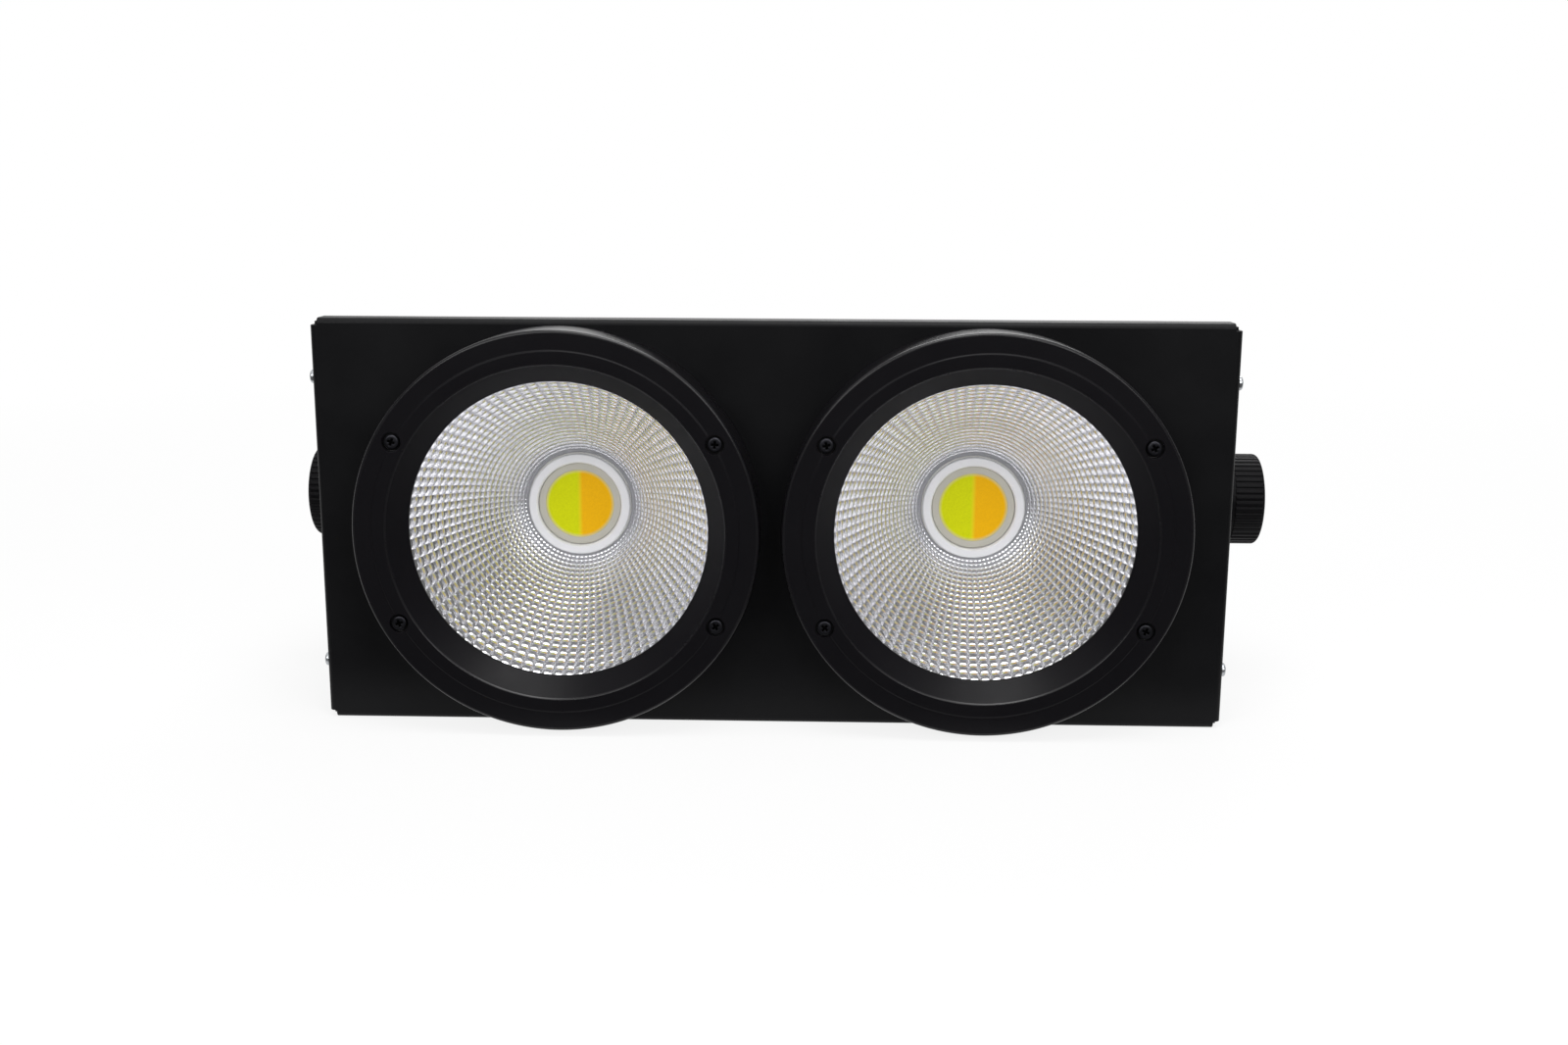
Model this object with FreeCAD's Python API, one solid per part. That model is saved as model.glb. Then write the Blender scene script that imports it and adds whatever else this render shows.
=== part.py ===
import FreeCAD, Part
import math
import os

# Audience blinder light with two round lamps side by side, in millimetres.
# +X runs to the right as seen from the front, the lamps face -Y, and +Z is up.
# The origin lies on the floor, in the middle of the underside of the front tray's bottom rim.

# Front tray, one folded sheet as high as the bezels and a margin, and as wide as the box behind it
tray_end_margin = 3.0
tray_depth = 13.5
sheet = 1.5
tray_bend = 3.0
corner_notch = 3.6
lamp_hole_inset = 16.4

# Bezel, a round hood moulded in one piece; its rings lie at insets from its outer edge
bezel_radius = 100.4
bezel_gap = 10.7
bezel_depth = 26.0
bezel_wall = 2.5
bezel_edge_round = 1.6
band_inset = 9.65
band_step = 0.6
throat_inset = 17.1
throat_chamfer = 0.7
mouth_inset = 25.9
mouth_recess = 10.0
mouth_lip = 1.6
seat_inset = 21.9
post_radius = 5.9
pocket_radius = 4.7
pocket_depth = 2.2
bezel_screw_inset = 9.45
bezel_screw_angle = 30.0

# Screws with pan heads and a cross recess
bezel_screw_radius = 1.95
bezel_screw_length = 30.5
bezel_head_radius = 3.8
bezel_head_height = 2.4
small_screw_radius = 1.5
small_screw_length = 7.0
small_head_radius = 3.2
small_head_height = 1.8
tray_head_radius = 3.5
tray_head_height = 2.0
recess_width_share = 0.22
recess_reach_share = 0.6
recess_depth_share = 0.6
head_round_share = 0.45
nut_flats = 7.0
nut_height = 3.2
thread_clearance = 0.05

# Reflector, a parabolic bowl of thin metallised shell
reflector_wall = 1.4
reflector_lip = 1.5
reflector_lip_width = 4.3
reflector_margin = 0.7
neck_clearance = 0.6
bowl_spans = 8

# Emitter stack on the lamp's axis
emitter_depth = 56.2
emitter_radius = 18.4
emitter_split = 0.3
phosphor_thickness = 0.8
dam_radius = 22.2
dam_rise = 0.3
holder_gap = 0.2
holder_radius = 27.3
holder_height = 3.6
board_size = 64.0
board_screw_gap = 6.0
board_thickness = 2.0
board_corner = 3.0

# Heat sink with upright fins
sink_screw_inset = 10.0
sink_base = 6.0
sink_fin_length = 38.0
sink_fin = 1.6
sink_fins = 14
pedestal_size = 56.0
pedestal_clearance = 1.0

# Fan with its wire guard
fan_size = 80.0
fan_depth = 25.0
fan_corner = 4.0
fan_bore_inset = 1.5
fan_gap = 0.5
fan_hole_inset = 4.25
fan_hub_radius = 16.0
fan_hub_plate = 3.0
fan_strut_width = 4.0
bearing_radius = 3.5
bearing_length = 12.0
shaft_radius = 1.5
shaft_clearance = 0.05
rotor_radius = 17.0
rotor_wall = 1.5
rotor_depth = 15.0
rotor_gap = 1.5
blade_gap = 1.2
blade_thickness = 1.3
blade_root_chord = 15.0
blade_tip_chord = 23.0
blade_root_angle = 48.0
blade_tip_angle = 30.0
blades = 7
guard_wire = 1.0
guard_rings = 4
guard_inner_ring = 11.0
guard_inset = 2.0
guard_eye_radius = 3.4
guard_weld = 0.4

# Rear shell, folded from one sheet
fit_gap = 0.3
shell_start = 3.2
roof_depth = 22.0
panel_height = 114.7
shell_bend = 4.0
vent_length = 42.0
vent_width = 3.2
vent_pitch = 8.0
vents = 11
vent_centre = 78.0

# Side plates and their flanges
flange_width = 10.0
flange_gap = 0.05
tray_screw_depth = 6.0
tray_screw_inset = 29.8
shell_screw_depth = 84.0
panel_screw_inset = 10.35

# Chassis plate across the box
chassis_margin = 26.4
chassis_flange = 14.0
chassis_screw_inset = 25.0
lead_hole_radius = 4.0
lead_hole_gap = 5.6
lead_hole_drop = 20.0

# Boards and what stands on them
board_sheet = 1.6
standoff_radius = 3.0
standoff_height = 6.0
supply_gap = 11.25
supply_side_gap = 11.7
supply_width = 50.0
supply_margin = 17.0
part_inset = 4.0
transformer_size = 30.0
capacitor_radius = 8.0
capacitor_height = 24.0
terminal_depth = 12.0
terminal_width = 26.0
coil_radius = 9.0
coil_height = 14.0
chip_size = 12.0
chip_height = 2.0
control_margin = 10.75
control_height = 54.0
control_gap = 10.4
control_centre = 23.0

# Display and menu buttons
display_width = 46.0
display_height = 16.0
display_rise = 32.0
window_border = 3.0
window_flange = 1.2
window_gap = 0.2
button_radius = 4.0
button_pitch = 18.0
button_rise = 9.5
button_proud = 2.2
button_clearance = 0.3
button_flange = 1.0
button_flange_height = 0.9
button_seat_gap = 0.1
button_travel = 0.8
button_stem = 5.0
switch_size = 6.0

# Chassis sockets with the common rectangular flange
socket_width = 26.0
socket_height = 31.0
socket_corner = 2.0
socket_flange = 2.6
socket_barrel = 11.8
socket_length = 24.0
socket_hole_gap = 0.3
socket_screw_x = 9.5
socket_screw_z = 12.0
power_bore = 10.4
power_core = 5.6
power_depth = 14.0
power_core_recess = 1.5
power_key = 1.6
power_rise = 22.0
signal_bore = 9.3
signal_insert = 7.0
signal_depth = 12.0
signal_pin_radius = 1.2
signal_pin_circle = 5.0
signal_pin_recess = 2.0
signal_x = 19.0
signal_drop = 24.5
latch_width = 7.0
latch_height = 2.6
latch_rise = 13.1
latch_proud = 1.6
latch_travel = 1.2
latch_clearance = 0.3

# Fuse holder with its quarter-turn cap
fuse_offset = 30.0
fuse_body_radius = 7.0
fuse_flange_radius = 8.6
fuse_flange = 2.0
fuse_length = 28.0
fuse_bore = 4.6
fuse_bore_depth = 20.0
fuse_cap_radius = 6.6
fuse_cap_height = 5.0
fuse_stem_clearance = 0.3
fuse_stem_length = 12.0
fuse_slot = 1.4
fuse_cap_gap = 0.1

# Bracket for the safety cable
safety_rise = 38.0
safety_width = 30.0
safety_plate = 2.5
safety_reach = 27.0
safety_height = 22.0
safety_hole_radius = 6.5
safety_bend = 4.0

# Yoke of flat steel bar and its pivot
pivot_depth = 89.0
disc_radius = 19.0
disc_thickness = 4.0
yoke_gap = 0.1
yoke_bar = 4.0
yoke_width = 36.0
yoke_reach = 165.0
yoke_bend = 12.0
yoke_hole_radius = 6.5
yoke_side_hole_radius = 4.5
yoke_side_hole_reach = 55.0
stud_radius = 4.0
stud_clearance = 0.06
stud_loose = 0.4
stud_length = 38.0
stud_in_knob = 13.0
weld_nut_radius = 8.0
weld_nut_height = 8.0
washer_radius = 10.0
washer_thickness = 1.5

# Ribbed hand knobs, the right one backed off as photographed
knob_radius = 24.8
knob_length = 18.6
knob_collar = 3.0
knob_collar_step = 0.8
knob_round = 2.2
knob_grooves = 46
knob_groove_radius = 1.0
knob_groove_share = 0.3
knob_recess_radius = 15.0
knob_recess = 1.0
knob_backoff = 6.8

# Leads inside the box, each with the lanes it runs in
lead_radius = 1.2
lead_pitch = 4.0
lane_pitch = 3.2
fuse_lead_offset = 3.0
outlet_lane_offset = 16.0
outlet_start_offset = 4.8
lead_front = 45.0
pad_inset = 4.0
supply_lane_rise = 42.0
lamp_lane_rise = 34.0
lane_sag = 1.0
lead_bend_share = 0.45

# Every cut runs past its faces by this much
overrun = 2.0

# Sizes and places worked out from the sizes above
lamp_x = bezel_radius + bezel_gap / 2
sink_screw_spacing = board_size + 2 * board_screw_gap
sink_size = sink_screw_spacing + 2 * sink_screw_inset
supply_reach = lamp_x + sink_size / 2 + supply_gap + supply_width / 2
side_inner = supply_reach + supply_width / 2 + supply_side_gap
side_outer = side_inner + sheet
tray_width = 2 * (side_outer + fit_gap + sheet)
tray_height = 2 * (bezel_radius + tray_end_margin)
lamp_hole_radius = bezel_radius - lamp_hole_inset
band_radius = bezel_radius - band_inset
throat_radius = bezel_radius - throat_inset
mouth_radius = bezel_radius - mouth_inset
seat_radius = bezel_radius - seat_inset
bezel_screw_circle = bezel_radius - bezel_screw_inset
tray_front = -tray_depth / 2
mid_z = tray_height / 2
bezel_front = tray_front - bezel_depth
mouth_y = bezel_front + mouth_recess
seat_y = mouth_y + mouth_lip
emitter_y = tray_front + emitter_depth
board_front = emitter_y + phosphor_thickness
chassis_y = board_front + board_thickness
sink_y = chassis_y + sheet
fin_start = sink_y + sink_base
fan_bore_radius = fan_size / 2 - fan_bore_inset
fan_hole_spacing = fan_size - 2 * fan_hole_inset
blade_tip_radius = fan_bore_radius - blade_gap
guard_outer_ring = fan_size / 2 - guard_inset
fan_start = fin_start + sink_fin_length + fan_gap
fan_back = fan_start + fan_depth
panel_inner = fan_back
panel_outer = panel_inner + sheet
roof_rise = mid_z - sheet - fit_gap
panel_rise = panel_height / 2
slope_run = panel_outer - tray_front - roof_depth
slope_angle = math.degrees(math.atan2(roof_rise - panel_rise, slope_run))
panel_screw_rise = panel_rise - panel_screw_inset
tray_screw_rise = mid_z - tray_screw_inset
chassis_rise = mid_z - chassis_margin
chassis_screw_rise = chassis_rise - chassis_screw_inset
lead_hole_reach = sink_size / 2 + lead_hole_gap
supply_height = 2 * (chassis_rise - supply_margin)
control_width = 2 * (lamp_x - fan_size / 2 - control_margin)
power_x = supply_reach
fuse_x = power_x - fuse_offset
safety_x = -supply_reach
outlet_lane = power_x + outlet_lane_offset
pivot_y = tray_front + pivot_depth
yoke_inner = side_outer + disc_thickness + yoke_gap
yoke_outer = yoke_inner + yoke_bar
control_front = panel_inner - control_gap
board_lift = sink_y + standoff_height
SIDES = {"left": -1, "right": 1}


def vec(x, y, z):
    return FreeCAD.Vector(x, y, z)


AXIS_X = vec(1, 0, 0)
AXIS_Y = vec(0, 1, 0)
AXIS_Z = vec(0, 0, 1)


def outline(corners, place):
    """Closed wire through flat corners; a corner's third value is the radius that rounds it."""
    starts = []
    middles = []
    ends = []
    for index, corner in enumerate(corners):
        point = vec(corner[0], corner[1], 0)
        radius = corner[2] if len(corner) > 2 else 0
        if radius == 0:
            starts.append(point)
            middles.append(None)
            ends.append(point)
            continue
        before = corners[index - 1]
        after = corners[(index + 1) % len(corners)]
        back = (vec(before[0], before[1], 0) - point).normalize()
        ahead = (vec(after[0], after[1], 0) - point).normalize()
        half = back.getAngle(ahead) / 2
        inward = (back + ahead).normalize()
        starts.append(point + back * (radius / math.tan(half)))
        ends.append(point + ahead * (radius / math.tan(half)))
        middles.append(point + inward * (radius / math.sin(half) - radius))
    edges = []
    for index, middle in enumerate(middles):
        if middle is not None:
            edges.append(Part.Arc(place(starts[index]), place(middle), place(ends[index])).toShape())
        following = starts[(index + 1) % len(starts)]
        if ends[index].distanceToPoint(following) > thread_clearance / 100:
            edges.append(Part.LineSegment(place(ends[index]), place(following)).toShape())
    return Part.Wire(edges)


def prism(corners, place, along):
    """Solid between an outline and its copy moved along a vector."""
    return Part.Face(outline(corners, place)).extrude(along)


def on_side(x):
    """Puts a flat (y, z) outline on the plane at x."""
    return lambda point: vec(x, point.x, point.y)


def on_front(y):
    """Puts a flat (x, z) outline on the plane at y."""
    return lambda point: vec(point.x, y, point.y)


def on_floor(z):
    """Puts a flat (x, y) outline on the plane at z."""
    return lambda point: vec(point.x, point.y, z)


def parallel(path, distance):
    """The open path moved to its right by a distance, with its corners kept."""
    points = [vec(point[0], point[1], 0) for point in path]
    rights = []
    for first, second in zip(points, points[1:]):
        run = (second - first).normalize()
        rights.append(vec(run.y, -run.x, 0))
    moved = [points[0] + rights[0] * distance]
    for index in range(1, len(points) - 1):
        both = rights[index - 1] + rights[index]
        share = 1 + rights[index - 1].dot(rights[index])
        moved.append(points[index] + both * (distance / share))
    moved.append(points[-1] + rights[-1] * distance)
    return [(point.x, point.y) for point in moved]


def folded(path, thickness, bend):
    """Outline of a sheet folded along a path: the path is its outer face, and the inside is to its right."""
    outer = [(x, y, bend) for x, y in path]
    inner = [(x, y, bend - thickness) for x, y in parallel(path, thickness)]
    outer[0] = path[0]
    outer[-1] = path[-1]
    inner[0] = inner[0][:2]
    inner[-1] = inner[-1][:2]
    return outer + inner[::-1]


def rod(radius, start, end):
    """Round bar between two points."""
    run = end - start
    return Part.makeCylinder(radius, run.Length, start, run)


def tube(outer, inner, start, end):
    """Round bar with a round hole through it."""
    return rod(outer, start, end).cut(rod(inner, start, end))


def block(x0, x1, y0, y1, z0, z1):
    """Box between its two corners."""
    return Part.makeBox(x1 - x0, y1 - y0, z1 - z0, vec(x0, y0, z0))


def rounded_plate(width, height, corner, centre_x, centre_z, y0, y1):
    """Plate in the XZ plane with round corners."""
    half_x = width / 2
    half_z = height / 2
    left = centre_x - half_x
    right = centre_x + half_x
    low = centre_z - half_z
    high = centre_z + half_z
    corners = [(left, low, corner), (right, low, corner), (right, high, corner), (left, high, corner)]
    return prism(corners, on_front(y0), vec(0, y1 - y0, 0))


def turned(corners, axis_x, axis_z):
    """Solid of revolution about a lamp's axis, from an outline of (radius, y) corners."""
    wire = outline(corners, lambda point: vec(axis_x + point.x, point.y, axis_z))
    return Part.Face(wire).revolve(vec(axis_x, 0, axis_z), AXIS_Y, 360)


def facing(shape, direction, at):
    """Turns a shape that was made along +Z to a direction and moves it to a place."""
    turn = FreeCAD.Rotation(AXIS_Z, direction)
    moved = shape.copy()
    moved.Placement = FreeCAD.Placement(at, turn)
    return moved


def screw(at, outward, shank_radius, length, head_radius, head_height):
    """Pan-head screw with a cross recess. Its head's underside is at the place and its shank runs inward."""
    half_width = recess_width_share * head_radius
    reach = recess_reach_share * head_radius
    floor = head_height - recess_depth_share * head_height
    head = Part.makeCylinder(head_radius, head_height)
    upper = [edge for edge in head.Edges if edge.BoundBox.ZMin > head_height / 2]
    rim = [edge for edge in upper if edge.BoundBox.ZLength < half_width]
    head = head.makeFillet(head_round_share * head_height, rim)
    bar = Part.makeBox(2 * reach, half_width, head_height, vec(-reach, -half_width / 2, floor))
    cross = bar.fuse(Part.makeBox(half_width, 2 * reach, head_height, vec(-half_width / 2, -reach, floor)))
    shank = Part.makeCylinder(shank_radius, length, vec(0, 0, -length))
    return facing(head.cut(cross).fuse(shank), outward, at)


def group(solids):
    """Separate solids that share one node."""
    return Part.makeCompound(solids)


def lead(points, radius):
    """Insulated wire along a route of straight runs joined by tangent arcs."""
    edges = []
    last = points[0]
    for index in range(1, len(points) - 1):
        corner = points[index]
        back = points[index - 1] - corner
        ahead = points[index + 1] - corner
        shorter = min(back.Length, ahead.Length)
        back.normalize()
        ahead.normalize()
        half = back.getAngle(ahead) / 2
        reach = lead_bend_share * shorter
        bend = reach * math.tan(half)
        inward = (back + ahead).normalize()
        start = corner + back * reach
        end = corner + ahead * reach
        middle = corner + inward * (bend / math.sin(half) - bend)
        edges.append(Part.LineSegment(last, start).toShape())
        edges.append(Part.Arc(start, middle, end).toShape())
        last = end
    edges.append(Part.LineSegment(last, points[-1]).toShape())
    path = Part.Wire(edges)
    ring = Part.Wire(Part.makeCircle(radius, points[0], points[1] - points[0]))
    return path.makePipeShell([ring], True, False)


def bezel_screw_places():
    """Axis places (x, z) of the eight bezel screws."""
    places = []
    for sign in SIDES.values():
        for across in (-1, 1):
            for up in (-1, 1):
                angle = math.radians(bezel_screw_angle)
                x = sign * lamp_x + across * bezel_screw_circle * math.cos(angle)
                places.append((x, mid_z + up * bezel_screw_circle * math.sin(angle)))
    return places


def square_places(centre_x, spacing):
    """The four corners (x, z) of a square round a lamp's axis."""
    half = spacing / 2
    return [(centre_x + across * half, mid_z + up * half) for across in (-1, 1) for up in (-1, 1)]


def socket_centres():
    """Centre (x, z) of each chassis socket."""
    return {
        "power_inlet": (power_x, mid_z + power_rise),
        "power_outlet": (power_x, mid_z - power_rise),
        "signal_inlet": (-signal_x, mid_z - signal_drop),
        "signal_outlet": (signal_x, mid_z - signal_drop),
    }


def socket_screw_places(centre):
    """The two screws of a socket's flange, on one diagonal."""
    x, z = centre
    return [(x - socket_screw_x, z + socket_screw_z), (x + socket_screw_x, z - socket_screw_z)]


def button_places():
    """Axis places (x, z) of the menu buttons, in a row."""
    names = ("menu_button", "down_button", "up_button", "enter_button")
    first = -button_pitch * (len(names) - 1) / 2
    return {name: (first + button_pitch * index, mid_z + button_rise) for index, name in enumerate(names)}


def shell_path():
    """Outer face of the rear shell seen from the side, from the front of the roof round to the floor."""
    front = tray_front + shell_start
    fold = tray_front + roof_depth
    return [(front, mid_z + roof_rise), (fold, mid_z + roof_rise), (panel_outer, mid_z + panel_rise),
            (panel_outer, mid_z - panel_rise), (fold, mid_z - roof_rise), (front, mid_z - roof_rise)]


def slope_point(depth, up):
    """Point (y, z) on the outer face of a slope at a depth behind the tray's face."""
    drop = (depth - roof_depth) * math.tan(math.radians(slope_angle))
    return tray_front + depth, mid_z + up * (roof_rise - drop)


def slope_normal(up):
    """Outward direction of a slope."""
    angle = math.radians(slope_angle)
    return vec(0, math.sin(angle), up * math.cos(angle))


def shell_screw_places():
    """Place and outward direction of each screw that holds the shell to the side plates."""
    reach = side_inner - flange_width / 2
    places = []
    for sign in SIDES.values():
        for up in (-1, 1):
            y, z = slope_point(shell_screw_depth, up)
            places.append((vec(sign * reach, y, z), slope_normal(up)))
            places.append((vec(sign * reach, panel_outer, mid_z + up * panel_screw_rise), AXIS_Y))
    return places


def safety_screw_places():
    """Axis places (x, z) of the two screws of the safety bracket."""
    reach = safety_width / 4
    z = mid_z + safety_rise - safety_height / 2
    return [(safety_x - reach, z), (safety_x + reach, z)]


def chassis_screw_places():
    """Places (y, z) of the screws through a side plate into the chassis flange."""
    y = chassis_y + chassis_flange / 2
    return [(y, mid_z + up * chassis_screw_rise) for up in (-1, 1)]


def standoff_places(sign):
    """Places (x, z) of the pillars under a supply or driver board."""
    half_x = supply_width / 2 - part_inset
    half_z = supply_height / 2 - part_inset
    centre = sign * supply_reach
    return [(centre + across * half_x, mid_z + up * half_z) for across in (-1, 1) for up in (-1, 1)]


def control_standoff_places():
    """Places (x, z) of the pillars between the rear panel and the control board."""
    half_x = control_width / 2 - part_inset
    half_z = control_height / 2 - part_inset
    centre_z = mid_z + control_centre
    return [(across * half_x, centre_z + up * half_z) for across in (-1, 1) for up in (-1, 1)]


def front_tray():
    """Folded front: a face with four rims, square notches at its corners and two lamp holes."""
    half = tray_width / 2
    outer = block(-half, half, tray_front, -tray_front, 0, tray_height)
    inner = block(-half + sheet, half - sheet, tray_front + sheet, -tray_front + overrun,
                  sheet, tray_height - sheet)

    def front_edges(box, front):
        return [edge for edge in box.Edges if edge.BoundBox.YMax < front + sheet / 2]

    outer = outer.makeFillet(tray_bend, front_edges(outer, tray_front))
    inner = inner.makeFillet(tray_bend - sheet, front_edges(inner, tray_front + sheet))
    tray = outer.cut(inner)
    cuts = []
    for sign in SIDES.values():
        edge_x = sign * half
        inside_x = edge_x - sign * corner_notch
        for low, high in ((-overrun, corner_notch), (tray_height - corner_notch, tray_height + overrun)):
            ends = sorted((inside_x, edge_x + sign * overrun))
            cuts.append(block(ends[0], ends[1], tray_front - overrun, -tray_front + overrun, low, high))
        cuts.append(rod(lamp_hole_radius, vec(sign * lamp_x, tray_front - overrun, mid_z),
                        vec(sign * lamp_x, tray_front + tray_bend, mid_z)))
        for up in (-1, 1):
            place = vec(sign * (side_inner - overrun), tray_front + tray_screw_depth,
                        mid_z + up * tray_screw_rise)
            hole = small_screw_radius + thread_clearance
            cuts.append(rod(hole, place, place + AXIS_X * (sign * (half - side_inner + 2 * overrun))))
    for x, z in bezel_screw_places():
        hole = bezel_screw_radius + thread_clearance
        cuts.append(rod(hole, vec(x, tray_front - overrun, z), vec(x, tray_front + tray_bend, z)))
    return tray.cut(group(cuts))


def bezel(sign):
    """Moulded hood: outer wall, raised inner band, cone to the mouth and four screw posts."""
    axis_x = sign * lamp_x
    face_back = bezel_front + bezel_wall
    cone_run = math.hypot(throat_radius - mouth_radius, mouth_recess)
    back_radius = throat_radius + bezel_wall * mouth_recess / cone_run
    corners = [
        (bezel_radius, tray_front),
        (bezel_radius, bezel_front, bezel_edge_round),
        (band_radius, bezel_front),
        (band_radius - band_step, bezel_front - band_step),
        (throat_radius + throat_chamfer, bezel_front - band_step),
        (throat_radius, bezel_front - band_step + throat_chamfer),
        (mouth_radius, mouth_y),
        (mouth_radius, seat_y),
        (seat_radius, seat_y),
        (back_radius, face_back),
        (bezel_radius - bezel_wall, face_back, bezel_wall / 2),
        (bezel_radius - bezel_wall, tray_front),
    ]
    hood = turned(corners, axis_x, mid_z)
    places = [place for place in bezel_screw_places() if place[0] * sign > 0]
    post_start = bezel_front + pocket_depth / 2
    posts = [rod(post_radius, vec(x, post_start, z), vec(x, tray_front, z)) for x, z in places]
    hood = hood.fuse(posts)
    cuts = []
    for x, z in places:
        hole = bezel_screw_radius + thread_clearance
        cuts.append(rod(hole, vec(x, bezel_front - overrun, z), vec(x, tray_front + overrun, z)))
        cuts.append(rod(pocket_radius, vec(x, bezel_front - overrun, z),
                        vec(x, bezel_front + pocket_depth, z)))
    return hood.cut(group(cuts))


def bezel_screws():
    """Eight black screws whose heads sit in the bezels' pockets."""
    seat = bezel_front + pocket_depth
    return group([screw(vec(x, seat, z), -AXIS_Y, bezel_screw_radius, bezel_screw_length,
                        bezel_head_radius, bezel_head_height) for x, z in bezel_screw_places()])


def bezel_nuts():
    """Eight captive hexagon nuts on the back of the tray."""
    back = tray_front + sheet
    nuts = []
    for x, z in bezel_screw_places():
        corner = nut_flats / 2 / math.cos(math.radians(30))
        turns = [math.radians(60 * step) for step in range(6)]
        points = [(x + corner * math.cos(turn), z + corner * math.sin(turn)) for turn in turns]
        hexagon = prism(points, on_front(back), vec(0, nut_height, 0))
        nuts.append(hexagon.cut(rod(bezel_screw_radius + thread_clearance, vec(x, back - overrun, z),
                                    vec(x, back + nut_height + overrun, z))))
    return group(nuts)


def reflector(sign):
    """Bowl whose inner face is a parabola from the bezel's mouth to the neck round the emitter."""
    axis_x = sign * lamp_x
    mouth = mouth_radius + reflector_margin
    neck = holder_radius + neck_clearance
    slope = (mouth * mouth - neck * neck) / (board_front - seat_y)
    vertex = board_front + neck * neck / slope

    def curve(wall, start):
        points = []
        for step in range(bowl_spans + 1):
            y = start + (board_front - start) * step / bowl_spans
            points.append(vec(axis_x + math.sqrt(slope * (vertex - y)) + wall, y, mid_z))
        spline = Part.BSplineCurve()
        spline.interpolate(points)
        return spline.toShape(), points[0], points[-1]

    lip_y = seat_y + reflector_lip
    inner, mouth_point, neck_point = curve(0, seat_y)
    outer, lip_point, heel_point = curve(reflector_wall, lip_y)
    lip_x = axis_x + mouth + reflector_lip_width
    edge_front = vec(lip_x, seat_y, mid_z)
    edge_back = vec(lip_x, lip_y, mid_z)
    wire = Part.Wire(Part.__sortEdges__([
        inner,
        Part.LineSegment(neck_point, heel_point).toShape(),
        outer,
        Part.LineSegment(lip_point, edge_back).toShape(),
        Part.LineSegment(edge_back, edge_front).toShape(),
        Part.LineSegment(edge_front, mouth_point).toShape(),
    ]))
    return Part.Face(wire).revolve(vec(axis_x, 0, mid_z), AXIS_Y, 360)


def holder_ring(sign):
    """White moulded ring that clamps the emitter board and frames the emitter."""
    inner = dam_radius + holder_gap
    top = board_front - holder_height
    rounding = (holder_radius - inner) / 4
    return turned([(inner, board_front), (holder_radius, board_front), (holder_radius, top, rounding),
                   (inner, top, rounding)], sign * lamp_x, mid_z)


def dam_ring(sign):
    """Silicone dam round the emitting area."""
    rise = phosphor_thickness + dam_rise
    rounding = (dam_radius - emitter_radius) / 3
    return turned([(emitter_radius, board_front), (dam_radius, board_front),
                   (dam_radius, board_front - rise, rise / 2),
                   (emitter_radius, board_front - rise, rounding / 2)], sign * lamp_x, mid_z)


def phosphor(sign, half):
    """Half disc of phosphor: the cool half is on the left and the warm one on the right."""
    axis_x = sign * lamp_x
    disc = rod(emitter_radius, vec(axis_x, emitter_y, mid_z), vec(axis_x, board_front, mid_z))
    split = emitter_split / 2
    edges = sorted((axis_x + half * split, axis_x + half * (emitter_radius + overrun)))
    reach = emitter_radius + overrun
    return disc.common(block(edges[0], edges[1], emitter_y, board_front, mid_z - reach, mid_z + reach))


def emitter_board(sign):
    """Square aluminium board of the chip-on-board emitter."""
    return rounded_plate(board_size, board_size, board_corner, sign * lamp_x, mid_z, board_front, chassis_y)


def heat_sink(sign):
    """Extruded aluminium heat sink: pedestal through the chassis, base plate and upright fins."""
    axis_x = sign * lamp_x
    half = sink_size / 2
    pedestal = pedestal_size / 2
    sink = block(axis_x - half, axis_x + half, sink_y, fin_start, mid_z - half, mid_z + half)
    sink = sink.fuse(block(axis_x - pedestal, axis_x + pedestal, chassis_y, sink_y,
                           mid_z - pedestal, mid_z + pedestal))
    pitch = (sink_size - sink_fin) / (sink_fins - 1)
    fins = []
    for index in range(sink_fins):
        left = axis_x - half + index * pitch
        fins.append(block(left, left + sink_fin, fin_start, fin_start + sink_fin_length,
                          mid_z - half, mid_z + half))
    sink = sink.fuse(fins)
    holes = []
    for x, z in square_places(axis_x, sink_screw_spacing):
        holes.append(rod(small_screw_radius + thread_clearance, vec(x, sink_y - overrun, z),
                         vec(x, fin_start - small_screw_radius, z)))
    return sink.cut(group(holes)).removeSplitter()


def sink_screws():
    """Eight screws from the chassis plate into the heat sinks' bases."""
    length = sheet + sink_base - 2 * small_screw_radius
    places = square_places(-lamp_x, sink_screw_spacing) + square_places(lamp_x, sink_screw_spacing)
    return group([screw(vec(x, chassis_y, z), -AXIS_Y, small_screw_radius, length,
                        small_head_radius, small_head_height) for x, z in places])


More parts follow.
